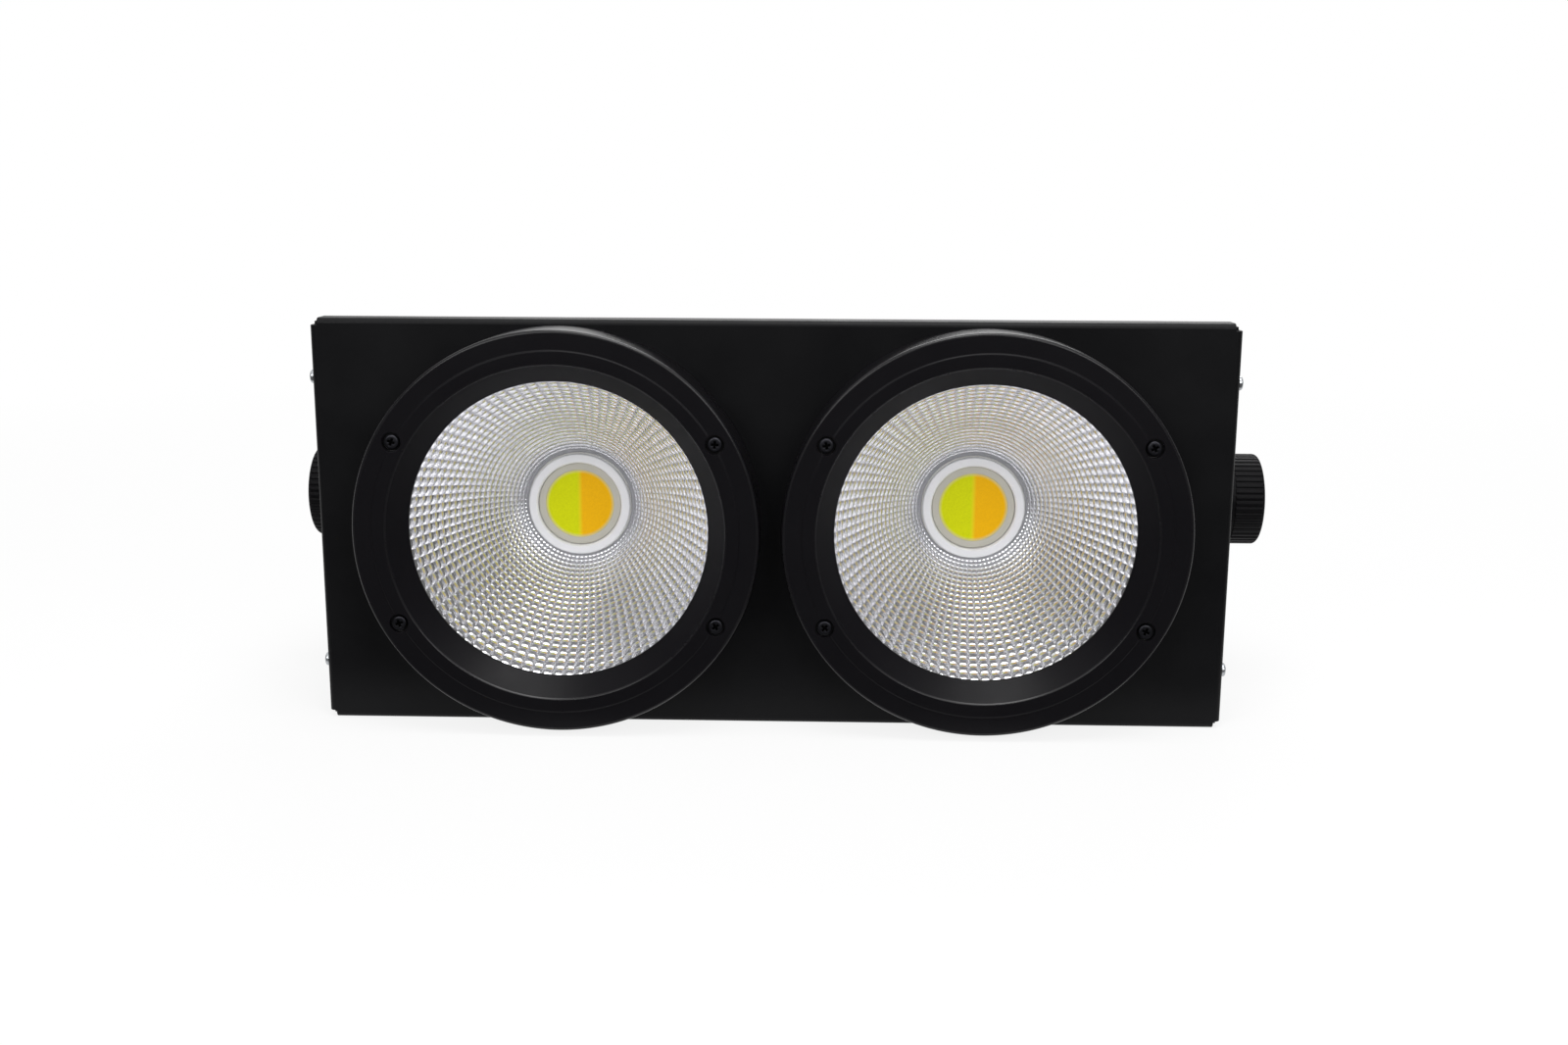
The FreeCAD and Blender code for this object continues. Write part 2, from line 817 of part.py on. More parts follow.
def fan_frame(sign):
    """Square fan frame with a round duct, four struts, the motor plate and the bearing tube."""
    axis_x = sign * lamp_x
    frame = rounded_plate(fan_size, fan_size, fan_corner, axis_x, mid_z, fan_start, fan_back)
    frame = frame.cut(rod(fan_bore_radius, vec(axis_x, fan_start - overrun, mid_z),
                          vec(axis_x, fan_back + overrun, mid_z)))
    plate_start = fan_back - fan_hub_plate
    hub = rod(fan_hub_radius, vec(axis_x, plate_start, mid_z), vec(axis_x, fan_back, mid_z))
    hub = hub.fuse(rod(bearing_radius, vec(axis_x, plate_start - bearing_length, mid_z),
                       vec(axis_x, plate_start, mid_z)))
    reach = fan_bore_radius + fan_strut_width / 2
    half = fan_strut_width / 2
    across = block(axis_x - reach, axis_x + reach, plate_start, fan_back, mid_z - half, mid_z + half)
    upright = block(axis_x - half, axis_x + half, plate_start, fan_back, mid_z - reach, mid_z + reach)
    frame = frame.fuse([hub, across, upright])
    cuts = [rod(shaft_radius + shaft_clearance, vec(axis_x, plate_start - bearing_length - overrun, mid_z),
                vec(axis_x, fan_back - fan_hub_plate / 2, mid_z))]
    for x, z in square_places(axis_x, fan_hole_spacing):
        cuts.append(rod(bezel_screw_radius, vec(x, fan_start - overrun, z), vec(x, fan_back + overrun, z)))
    return frame.cut(group(cuts))


def fan_rotor(sign):
    """Rotor: cup over the motor, shaft in the bearing and twisted blades."""
    axis_x = sign * lamp_x
    cup_back = fan_back - fan_hub_plate - rotor_gap
    cup_front = cup_back - rotor_depth
    cup = rod(rotor_radius, vec(axis_x, cup_front, mid_z), vec(axis_x, cup_back, mid_z))
    cup = cup.cut(rod(rotor_radius - rotor_wall, vec(axis_x, cup_front + rotor_wall, mid_z),
                      vec(axis_x, cup_back + overrun, mid_z)))
    shaft = rod(shaft_radius, vec(axis_x, cup_front, mid_z), vec(axis_x, fan_back - fan_hub_plate, mid_z))
    middle = (cup_front + cup_back) / 2

    def section(radius, chord, angle):
        lean = math.radians(angle)
        along = vec(math.cos(lean), math.sin(lean), 0) * (chord / 2)
        thick = vec(-math.sin(lean), math.cos(lean), 0) * (blade_thickness / 2)
        centre = vec(axis_x, middle, mid_z + radius)
        points = [centre - along - thick, centre + along - thick,
                  centre + along + thick, centre - along + thick]
        return Part.makePolygon(points + points[:1])

    root = section(rotor_radius - rotor_wall / 2, blade_root_chord, blade_root_angle)
    tip = section(blade_tip_radius, blade_tip_chord, blade_tip_angle)
    blade = Part.makeLoft([root, tip], True, True)
    duct = rod(blade_tip_radius, vec(axis_x, cup_front - overrun, mid_z),
               vec(axis_x, cup_back + overrun, mid_z))
    blade = blade.common(duct)
    blade = blade.cut(rod(rotor_radius - rotor_wall, vec(axis_x, cup_front + rotor_wall, mid_z),
                          vec(axis_x, cup_back + overrun, mid_z)))
    turned_blades = []
    for index in range(blades):
        turned_blade = blade.copy()
        turned_blade.rotate(vec(axis_x, 0, mid_z), AXIS_Y, 360 * index / blades)
        turned_blades.append(turned_blade)
    return cup.fuse([shaft] + turned_blades)


def fan_guard(sign):
    """Finger guard of steel wire: round rings on two crossed wires that end in screw eyes."""
    axis_x = sign * lamp_x
    ring_y = panel_outer + 3 * guard_wire - guard_weld
    spoke_y = panel_outer + guard_wire
    wires = []
    for index in range(guard_rings):
        radius = guard_inner_ring + (guard_outer_ring - guard_inner_ring) * index / (guard_rings - 1)
        wires.append(Part.makeTorus(radius, guard_wire, vec(axis_x, ring_y, mid_z), AXIS_Y))
    eye_place = fan_hole_spacing / 2
    inside = guard_inner_ring * math.sqrt(0.5)
    spoke_end = eye_place - guard_eye_radius * math.sqrt(0.5)
    for across in (-1, 1):
        for up in (-1, 1):
            start = vec(axis_x + across * (inside - guard_wire), spoke_y, mid_z + up * (inside - guard_wire))
            end = vec(axis_x + across * spoke_end, spoke_y, mid_z + up * spoke_end)
            wires.append(rod(guard_wire, start, end))
            centre = vec(axis_x + across * eye_place, spoke_y, mid_z + up * eye_place)
            wires.append(Part.makeTorus(guard_eye_radius, guard_wire, centre, AXIS_Y))
    return wires[0].fuse(wires[1:])


def fan_screws():
    """Eight self-tapping screws through the guards' eyes and the rear panel into the fan frames."""
    seat = panel_outer + 2 * guard_wire
    shank = bezel_screw_radius - thread_clearance
    length = seat - fan_back + fan_depth / 2
    head = guard_eye_radius + guard_wire / 2
    places = square_places(-lamp_x, fan_hole_spacing) + square_places(lamp_x, fan_hole_spacing)
    return group([screw(vec(x, seat, z), AXIS_Y, shank, length, head, bezel_head_height) for x, z in places])


def vent_slots():
    """Cutters of the slots in the roof and floor slopes, over and under each heat sink."""
    run = vent_length - vent_width
    deep = sheet + 2 * overrun
    slot = Part.makeBox(vent_width, run, deep, vec(-vent_width / 2, -run / 2, -deep / 2))
    ends = [Part.makeCylinder(vent_width / 2, deep, vec(0, end * run / 2, -deep / 2)) for end in (-1, 1)]
    slot = slot.fuse(ends)
    slots = []
    for up in (-1, 1):
        y, z = slope_point(vent_centre, up)
        lean = FreeCAD.Rotation(AXIS_X, -up * slope_angle)
        for sign in SIDES.values():
            first = sign * lamp_x - vent_pitch * (vents - 1) / 2
            for index in range(vents):
                cutter = slot.copy()
                cutter.Placement = FreeCAD.Placement(vec(first + vent_pitch * index, y, z), lean)
                slots.append(cutter)
    return slots


def rear_shell():
    """Folded box: roof, two slopes, rear panel and floor, with vents and all rear cut-outs."""
    corners = folded(shell_path(), sheet, shell_bend)
    shell = prism(corners, on_side(-side_inner), vec(2 * side_inner, 0, 0))
    cuts = vent_slots()
    hole = small_screw_radius + thread_clearance
    near = panel_inner - overrun
    far = panel_outer + overrun
    for sign in SIDES.values():
        cuts.append(rod(fan_bore_radius, vec(sign * lamp_x, near, mid_z), vec(sign * lamp_x, far, mid_z)))
        for x, z in square_places(sign * lamp_x, fan_hole_spacing):
            cuts.append(rod(bezel_screw_radius + thread_clearance, vec(x, near, z), vec(x, far, z)))
    for centre in socket_centres().values():
        x, z = centre
        cuts.append(rod(socket_barrel + socket_hole_gap, vec(x, near, z), vec(x, far, z)))
        for hole_x, hole_z in socket_screw_places(centre):
            cuts.append(rod(hole, vec(hole_x, near, hole_z), vec(hole_x, far, hole_z)))
    latch_x, latch_z = socket_centres()["signal_outlet"]
    half_x = latch_width / 2 + 2 * latch_clearance
    half_z = latch_height / 2 + 2 * latch_clearance
    cuts.append(block(latch_x - half_x, latch_x + half_x, near, far,
                      latch_z + latch_rise - half_z, latch_z + latch_rise + half_z))
    for x, z in button_places().values():
        cuts.append(rod(button_radius + button_clearance, vec(x, near, z), vec(x, far, z)))
    cuts.append(rod(fuse_body_radius + thread_clearance, vec(fuse_x, near, mid_z), vec(fuse_x, far, mid_z)))
    half_w = display_width / 2
    half_h = display_height / 2
    display_z = mid_z + display_rise
    cuts.append(block(-half_w, half_w, near, far, display_z - half_h, display_z + half_h))
    for x, z in safety_screw_places():
        cuts.append(rod(hole, vec(x, near, z), vec(x, far, z)))
    for place, outward in shell_screw_places():
        cuts.append(rod(hole, place - outward * overrun * 2, place + outward * overrun))
    return shell.cut(group(cuts))


def side_plate(sign):
    """Side of the box with a flange that runs inside the shell all the way round."""
    path = shell_path()
    closed = [path[0]] + [(y, z, shell_bend) for y, z in path[1:-1]] + [path[-1]]
    plate = prism(closed, on_side(sign * side_inner), vec(sign * sheet, 0, 0))
    inside = parallel(path, sheet + flange_gap)
    flange = prism(folded(inside, sheet, shell_bend - sheet), on_side(sign * (side_inner - flange_width)),
                   vec(sign * (flange_width + sheet / 2), 0, 0))
    plate = plate.fuse(flange)
    outer_end = sign * (side_outer + overrun)
    inner_end = sign * (side_inner - overrun)
    cuts = [rod(stud_radius + stud_loose, vec(inner_end, pivot_y, mid_z), vec(outer_end, pivot_y, mid_z))]
    hole = small_screw_radius + thread_clearance
    for up in (-1, 1):
        y = tray_front + tray_screw_depth
        z = mid_z + up * tray_screw_rise
        cuts.append(rod(hole, vec(inner_end, y, z), vec(outer_end, y, z)))
    for y, z in chassis_screw_places():
        cuts.append(rod(hole, vec(inner_end, y, z), vec(outer_end, y, z)))
    for place, outward in shell_screw_places():
        if place.x * sign > 0:
            cuts.append(rod(hole, place - outward * (3 * sheet + overrun), place + outward * overrun))
    return plate.cut(group(cuts)).removeSplitter()


def tray_screws():
    """Four plated screws that hold the tray's side rims to the side plates."""
    screws = []
    for sign in SIDES.values():
        for up in (-1, 1):
            place = vec(sign * tray_width / 2, tray_front + tray_screw_depth, mid_z + up * tray_screw_rise)
            screws.append(screw(place, AXIS_X * sign, small_screw_radius, small_screw_length,
                                tray_head_radius, tray_head_height))
    return group(screws)


def shell_screws():
    """Black screws of the rear shell, the safety bracket and the chassis flanges."""
    screws = []
    for place, outward in shell_screw_places():
        screws.append(screw(place, outward, small_screw_radius, small_screw_length,
                            small_head_radius, small_head_height))
    for x, z in safety_screw_places():
        screws.append(screw(vec(x, panel_outer + safety_plate, z), AXIS_Y, small_screw_radius,
                            small_screw_length, small_head_radius, small_head_height))
    for sign in SIDES.values():
        for y, z in chassis_screw_places():
            screws.append(screw(vec(sign * side_outer, y, z), AXIS_X * sign, small_screw_radius,
                                small_screw_length, small_head_radius, small_head_height))
    return group(screws)


def chassis_plate():
    """Sheet across the box that carries both lamps, with a flange to each side plate."""
    back = chassis_y + chassis_flange
    path = [(side_inner, back), (side_inner, chassis_y), (-side_inner, chassis_y), (-side_inner, back)]
    low = mid_z - chassis_rise
    plate = prism(folded(path, sheet, 2 * sheet), on_floor(low), vec(0, 0, 2 * chassis_rise))
    near = chassis_y - overrun
    far = sink_y + overrun
    cuts = []
    half = pedestal_size / 2 + pedestal_clearance
    hole = small_screw_radius + thread_clearance
    for sign in SIDES.values():
        axis_x = sign * lamp_x
        cuts.append(block(axis_x - half, axis_x + half, near, far, mid_z - half, mid_z + half))
        for x, z in square_places(axis_x, sink_screw_spacing):
            cuts.append(rod(hole, vec(x, near, z), vec(x, far, z)))
        lead_x = sign * (lamp_x + lead_hole_reach)
        lead_z = mid_z - lead_hole_drop
        cuts.append(rod(lead_hole_radius, vec(lead_x, near, lead_z), vec(lead_x, far, lead_z)))
        for y, z in chassis_screw_places():
            cuts.append(rod(hole, vec(sign * (side_inner - overrun), y, z),
                            vec(sign * (side_inner + overrun), y, z)))
    return plate.cut(group(cuts))


def board_standoffs():
    """Pillars under the power supply, the driver board and the control board."""
    pillars = []
    for sign in SIDES.values():
        for x, z in standoff_places(sign):
            pillars.append(rod(standoff_radius, vec(x, sink_y, z), vec(x, board_lift, z)))
    for x, z in control_standoff_places():
        pillars.append(rod(standoff_radius, vec(x, control_front, z), vec(x, panel_inner, z)))
    return group(pillars)


def supply_plate(sign):
    """Bare board of the power supply or the driver."""
    centre = sign * supply_reach
    half_x = supply_width / 2
    half_z = supply_height / 2
    return block(centre - half_x, centre + half_x, board_lift, board_lift + board_sheet,
                 mid_z - half_z, mid_z + half_z)


def power_supply():
    """Mains supply board: transformer, two capacitors, terminal block and power chips."""
    top = board_lift + board_sheet
    centre = supply_reach
    half = transformer_size / 2
    parts = [supply_plate(1)]
    parts.append(block(centre - half, centre + half, top, top + transformer_size - part_inset,
                       mid_z - half, mid_z + half))
    capacitor_z = mid_z - half - capacitor_radius - part_inset
    for across in (-1, 1):
        x = centre + across * (capacitor_radius + part_inset / 2)
        parts.append(rod(capacitor_radius, vec(x, top, capacitor_z),
                         vec(x, top + capacitor_height, capacitor_z)))
    half_w = terminal_width / 2
    for z in terminal_heights():
        parts.append(block(centre - half_w, centre + half_w, top, top + terminal_depth,
                           z - part_inset, z + part_inset))
    chip_z = terminal_heights()[0] - 2 * part_inset - chip_size
    for across in (-1, 1):
        x = centre + across * chip_size
        parts.append(block(x - chip_size / 2, x + chip_size / 2, top, top + chip_height,
                           chip_z, chip_z + chip_size))
    return parts[0].fuse(parts[1:]).removeSplitter()


def driver_board():
    """Driver board of the four emitter channels: four coils, chips and terminal block."""
    top = board_lift + board_sheet
    centre = -supply_reach
    parts = [supply_plate(-1)]
    for across in (-1, 1):
        x = centre + across * (coil_radius + part_inset / 2)
        for up in (-1, 1):
            z = mid_z + up * (coil_radius + part_inset)
            parts.append(rod(coil_radius, vec(x, top, z), vec(x, top + coil_height, z)))
    half_w = terminal_width / 2
    terminal_z = terminal_heights()[1]
    parts.append(block(centre - half_w, centre + half_w, top, top + terminal_depth,
                       terminal_z - part_inset, terminal_z + part_inset))
    chip_z = mid_z + supply_height / 2 - 2 * part_inset - chip_size
    for across in (-1, 1):
        x = centre + across * chip_size
        parts.append(block(x - chip_size / 2, x + chip_size / 2, top, top + chip_height,
                           chip_z, chip_z + chip_size))
    return parts[0].fuse(parts[1:]).removeSplitter()


def control_board():
    """Control board behind the display, with a push switch under each button."""
    centre_z = mid_z + control_centre
    half_x = control_width / 2
    half_z = control_height / 2
    parts = [block(-half_x, half_x, control_front - board_sheet, control_front,
                   centre_z - half_z, centre_z + half_z)]
    half = switch_size / 2
    top = panel_inner - button_flange_height - button_stem - button_travel - 2 * button_seat_gap
    for x, z in button_places().values():
        parts.append(block(x - half, x + half, control_front, top, z - half, z + half))
    chip_z = centre_z + half_z - 2 * part_inset
    for across in (-1, 1):
        x = across * (half_x - 2 * chip_size)
        back = control_front - board_sheet
        parts.append(block(x - chip_size / 2, x + chip_size / 2, back - chip_height, back,
                           chip_z - chip_size, chip_z))
    return parts[0].fuse(parts[1:]).removeSplitter()


def display_module():
    """Four-digit display that stands on the control board behind the window."""
    half_w = display_width / 2 - window_border / 2
    half_h = display_height / 2 - window_border / 2
    z = mid_z + display_rise
    back = panel_inner - window_flange - window_gap
    return block(-half_w, half_w, control_front, back, z - half_h, z + half_h)


def display_window():
    """Clear window: a plug in the panel's cut-out on a flange behind it."""
    half_w = display_width / 2
    half_h = display_height / 2
    z = mid_z + display_rise
    flange = block(-half_w - window_border, half_w + window_border, panel_inner - window_flange, panel_inner,
                   z - half_h - window_border, z + half_h + window_border)
    plug = block(-half_w + window_gap, half_w - window_gap, panel_inner, panel_outer,
                 z - half_h + window_gap, z + half_h - window_gap)
    return flange.fuse(plug)


def menu_button(place):
    """Round button cap with a flange behind the panel and a stem to its switch."""
    x, z = place
    flange_back = panel_inner - button_seat_gap
    flange_front = flange_back - button_flange_height
    cap_end = panel_outer + button_proud
    cap = turned([(0, flange_front), (button_radius + button_flange, flange_front),
                  (button_radius + button_flange, flange_back), (button_radius, flange_back),
                  (button_radius, cap_end, button_proud / 3), (0, cap_end)], x, z)
    stem = rod(button_radius / 2, vec(x, flange_front - button_stem, z), vec(x, flange_front, z))
    return cap.fuse(stem)


def socket_shell(centre, bore, depth):
    """Socket body: flange on the panel, barrel through it and a round bore from the rear."""
    x, z = centre
    flange_back = panel_outer + socket_flange
    body = rounded_plate(socket_width, socket_height, socket_corner, x, z, panel_outer, flange_back)
    body = body.fuse(rod(socket_barrel, vec(x, flange_back - socket_length, z), vec(x, panel_outer, z)))
    cuts = [rod(bore, vec(x, flange_back - depth, z), vec(x, flange_back + overrun, z))]
    for hole_x, hole_z in socket_screw_places(centre):
        cuts.append(rod(small_screw_radius + thread_clearance, vec(hole_x, panel_outer - overrun, hole_z),
                        vec(hole_x, flange_back + overrun, hole_z)))
    return body.cut(group(cuts))


def power_socket(centre, key_turn):
    """Locking mains socket: a round core with three contact slots and two keys in the bore."""
    x, z = centre
    flange_back = panel_outer + socket_flange
    floor = flange_back - power_depth
    top = flange_back - power_core_recess
    core = rod(power_core, vec(x, floor - overrun, z), vec(x, top, z))
    slots = []
    for index in range(3):
        slot = block(x - power_key / 2, x + power_key / 2, floor + overrun, top + overrun,
                     z + power_core / 4, z + power_core * 3 / 4)
        slot.rotate(vec(x, 0, z), AXIS_Y, 120 * index)
        slots.append(slot)
    core = core.cut(group(slots))
    keys = []
    for turn in (0, 180 - key_turn):
        key = block(x - power_key, x + power_key, floor - overrun, top, z - power_bore - power_key / 4,
                    z - power_bore + power_key)
        key.rotate(vec(x, 0, z), AXIS_Y, key_turn + turn)
        keys.append(key)
    return socket_shell(centre, power_bore, power_depth).fuse([core] + keys)


def signal_inlet():
    """Signal socket with three pins."""
    x, z = socket_centres()["signal_inlet"]
    floor = panel_outer + socket_flange - signal_depth
    pins = []
    for angle in (45, 135, 270):
        pin_x = x + signal_pin_circle * math.cos(math.radians(angle))
        pin_z = z + signal_pin_circle * math.sin(math.radians(angle))
        pins.append(rod(signal_pin_radius, vec(pin_x, floor - overrun, pin_z),
                        vec(pin_x, panel_outer + socket_flange - signal_pin_recess, pin_z)))
    return socket_shell((x, z), signal_bore, signal_depth).fuse(pins)


def signal_outlet():
    """Signal socket with three holes in its insert and a slot for the release latch."""
    x, z = socket_centres()["signal_outlet"]
    flange_back = panel_outer + socket_flange
    floor = flange_back - signal_depth
    insert = rod(signal_insert, vec(x, floor - overrun, z), vec(x, flange_back, z))
    holes = []
    for angle in (45, 135, 270):
        pin_x = x + signal_pin_circle * math.cos(math.radians(angle))
        pin_z = z + signal_pin_circle * math.sin(math.radians(angle))
        holes.append(rod(signal_pin_radius, vec(pin_x, floor, pin_z),
                         vec(pin_x, flange_back + overrun, pin_z)))
    body = socket_shell((x, z), signal_bore, signal_depth).fuse(insert.cut(group(holes)))
    half_x = latch_width / 2 + latch_clearance
    half_z = latch_height / 2 + latch_clearance
    slot = block(x - half_x, x + half_x, panel_outer - overrun, flange_back + overrun,
                 z + latch_rise - half_z, z + latch_rise + half_z)
    wide_x = half_x + latch_clearance
    wide_z = half_z + latch_clearance
    ledge = block(x - wide_x, x + wide_x, panel_outer - latch_travel - overrun, panel_outer,
                  z + latch_rise - wide_z, z + latch_rise + wide_z)
    return body.cut(slot.fuse(ledge))


def signal_latch():
    """Release latch: a small tab in the flange of the signal outlet."""
    x, z = socket_centres()["signal_outlet"]
    half_x = latch_width / 2
    half_z = latch_height / 2
    start = panel_outer - latch_clearance
    end = panel_outer + socket_flange + latch_proud
    tab = block(x - half_x, x + half_x, start, end, z + latch_rise - half_z, z + latch_rise + half_z)
    rim = [edge for edge in tab.Edges if edge.BoundBox.YMin > end - latch_clearance]
    return tab.makeChamfer(latch_clearance, rim)


def socket_screws():
    """Eight black screws of the four sockets."""
    seat = panel_outer + socket_flange
    screws = []
    for centre in socket_centres().values():
        for x, z in socket_screw_places(centre):
            screws.append(screw(vec(x, seat, z), AXIS_Y, small_screw_radius, small_screw_length,
                                small_head_radius, small_head_height))
    return group(screws)


def fuse_holder():
    """Round fuse holder with its flange outside the panel."""
    end = panel_outer + fuse_flange
    corners = [
        (0, end - fuse_length),
        (fuse_body_radius, end - fuse_length),
        (fuse_body_radius, panel_outer),
        (fuse_flange_radius, panel_outer),
        (fuse_flange_radius, end, fuse_flange / 2),
        (fuse_bore, end),
        (fuse_bore, end - fuse_bore_depth),
        (0, end - fuse_bore_depth),
    ]
    return turned(corners, fuse_x, mid_z)


def fuse_cap():
    """Quarter-turn cap with a coin slot, on a stem that reaches into the holder."""
    start = panel_outer + fuse_flange + fuse_cap_gap
    end = start + fuse_cap_height
    stem = fuse_bore - fuse_stem_clearance
    corners = [
        (0, start - fuse_stem_length),
        (stem, start - fuse_stem_length),
        (stem, start),
        (fuse_cap_radius, start),
        (fuse_cap_radius, end, fuse_cap_height / 4),
        (0, end),
    ]
    cap = turned(corners, fuse_x, mid_z)
    slot = block(fuse_x - fuse_cap_radius, fuse_x + fuse_cap_radius,
                 end - fuse_cap_height / 3, end + overrun,
                 mid_z - fuse_slot / 2, mid_z + fuse_slot / 2)
    return cap.cut(slot)


def safety_bracket():
    """Folded steel bracket on the rear panel with a hole for the safety cable's hook."""
    top = mid_z + safety_rise
    tip = panel_outer + safety_reach
    path = [(panel_outer, top - safety_height), (panel_outer, top), (tip, top)]
    plate = prism(folded([(y, z) for y, z in path], safety_plate, safety_bend + safety_plate),
                  on_side(safety_x - safety_width / 2), vec(safety_width, 0, 0))
    upright = [edge for edge in plate.Edges
               if edge.BoundBox.YMin > tip - safety_plate and edge.BoundBox.ZLength > safety_plate / 2]
    plate = plate.makeFillet(safety_width / 3, upright)
    hole_y = tip - safety_width / 2 + safety_plate / 2
    cuts = [rod(safety_hole_radius, vec(safety_x, hole_y, top - safety_plate - overrun),
                vec(safety_x, hole_y, top + overrun))]
    for x, z in safety_screw_places():
        cuts.append(rod(small_screw_radius + thread_clearance, vec(x, panel_outer - overrun, z),
                        vec(x, panel_outer + safety_plate + overrun, z)))
    return plate.cut(group(cuts))


def friction_discs():
    """Two moulded discs between the side plates and the yoke's arms."""
    discs = []
    for sign in SIDES.values():
        start = vec(sign * side_outer, pivot_y, mid_z)
        end = vec(sign * (side_outer + disc_thickness), pivot_y, mid_z)
        discs.append(tube(disc_radius, stud_radius + stud_loose, start, end))
    return group(discs)


def pivot_nuts():
    """Two round weld nuts inside the side plates."""
    nuts = []
    for sign in SIDES.values():
        start = vec(sign * (side_inner - weld_nut_height), pivot_y, mid_z)
        end = vec(sign * side_inner, pivot_y, mid_z)
        nuts.append(tube(weld_nut_radius, stud_radius + stud_clearance, start, end))
    return group(nuts)


def yoke_lean():
    """Angle below the horizontal at which the lower edge of the yoke's bar meets the floor."""
    corner = math.hypot(yoke_reach, yoke_width / 2)
    lead_angle = math.atan2(yoke_width / 2, yoke_reach)
    return math.degrees(math.asin(mid_z / corner) - lead_angle)


def yoke():
    """Flat bar bent to a U, with round ends on the pivot and three holes in the cross bar."""
    tip = pivot_y + yoke_reach
    path = [(-yoke_outer, pivot_y), (-yoke_outer, tip), (yoke_outer, tip), (yoke_outer, pivot_y)]
    low = mid_z - yoke_width / 2
    bar = prism(folded(path, yoke_bar, yoke_bend), on_floor(low), vec(0, 0, yoke_width))
    ends = []
    cuts = []
    for sign in SIDES.values():
        inner = vec(sign * yoke_inner, pivot_y, mid_z)
        outer = vec(sign * yoke_outer, pivot_y, mid_z)
        ends.append(rod(yoke_width / 2, inner, outer))
        past = AXIS_X * (sign * overrun)
        cuts.append(rod(stud_radius + stud_clearance, inner - past, outer + past))
    bar = bar.fuse(ends).removeSplitter()
    holes = ((0, yoke_hole_radius), (-yoke_side_hole_reach, yoke_side_hole_radius),
             (yoke_side_hole_reach, yoke_side_hole_radius))
    for x, radius in holes:
        cuts.append(rod(radius, vec(x, tip - yoke_bar - overrun, mid_z), vec(x, tip + overrun, mid_z)))
    bar = bar.cut(group(cuts))
    bar.rotate(vec(0, pivot_y, mid_z), AXIS_X, -yoke_lean())
    return bar


def knob_root(sign):
    """Distance from the middle to the root of a knob, past the washer."""
    tight = yoke_outer + yoke_gap + washer_thickness + yoke_gap
    return tight + (knob_backoff if sign > 0 else 0)


def knob_washers():
    """Two steel washers on the outer faces of the yoke's arms."""
    washers = []
    for sign in SIDES.values():
        start = vec(sign * yoke_outer, pivot_y, mid_z)
        end = vec(sign * (yoke_outer + washer_thickness), pivot_y, mid_z)
        washers.append(tube(washer_radius, stud_radius + stud_loose, start, end))
    return group(washers)


def knob(sign):
    """Ribbed drum with a plain collar at its root, a round outer edge and a shallow recess in its end."""
    root = knob_root(sign)
    end = root + knob_length
    corners = [
        (root, 0),
        (root, knob_radius - knob_collar_step),
        (root + knob_collar, knob_radius - knob_collar_step),
        (root + knob_collar, knob_radius),
        (end, knob_radius, knob_round),
        (end, knob_recess_radius),
        (end - knob_recess, knob_recess_radius - knob_recess),
        (end - knob_recess, 0),
    ]
    wire = outline(corners, lambda point: vec(sign * point.x, pivot_y, mid_z + point.y))
    drum = Part.Face(wire).revolve(vec(0, pivot_y, mid_z), AXIS_X, 360)
    bore = rod(stud_radius + thread_clearance, vec(sign * (root - overrun), pivot_y, mid_z),
               vec(sign * (root + stud_in_knob), pivot_y, mid_z))
    reach = knob_radius + knob_groove_radius * knob_groove_share
    groove = rod(knob_groove_radius, vec(sign * (root + knob_collar), pivot_y, mid_z + reach),
                 vec(sign * (end + overrun), pivot_y, mid_z + reach))
    grooves = []
    for index in range(knob_grooves):
        cutter = groove.copy()
        cutter.rotate(vec(0, pivot_y, mid_z), AXIS_X, 360 * index / knob_grooves)
        grooves.append(cutter)
    return drum.cut(group([bore] + grooves))


def knob_stud(sign):
    """Steel stud moulded into the knob."""
    end = knob_root(sign) + stud_in_knob
    return rod(stud_radius, vec(sign * (end - stud_length), pivot_y, mid_z), vec(sign * end, pivot_y, mid_z))


def terminal_face():
    """Depth of the terminal blocks' rear faces, where the leads enter."""
    return board_lift + board_sheet + terminal_depth


def terminal_heights():
    """Middle height of the upper and the lower terminal blocks."""
    reach = supply_height / 2 - 3 * part_inset
    return mid_z + reach, mid_z - reach


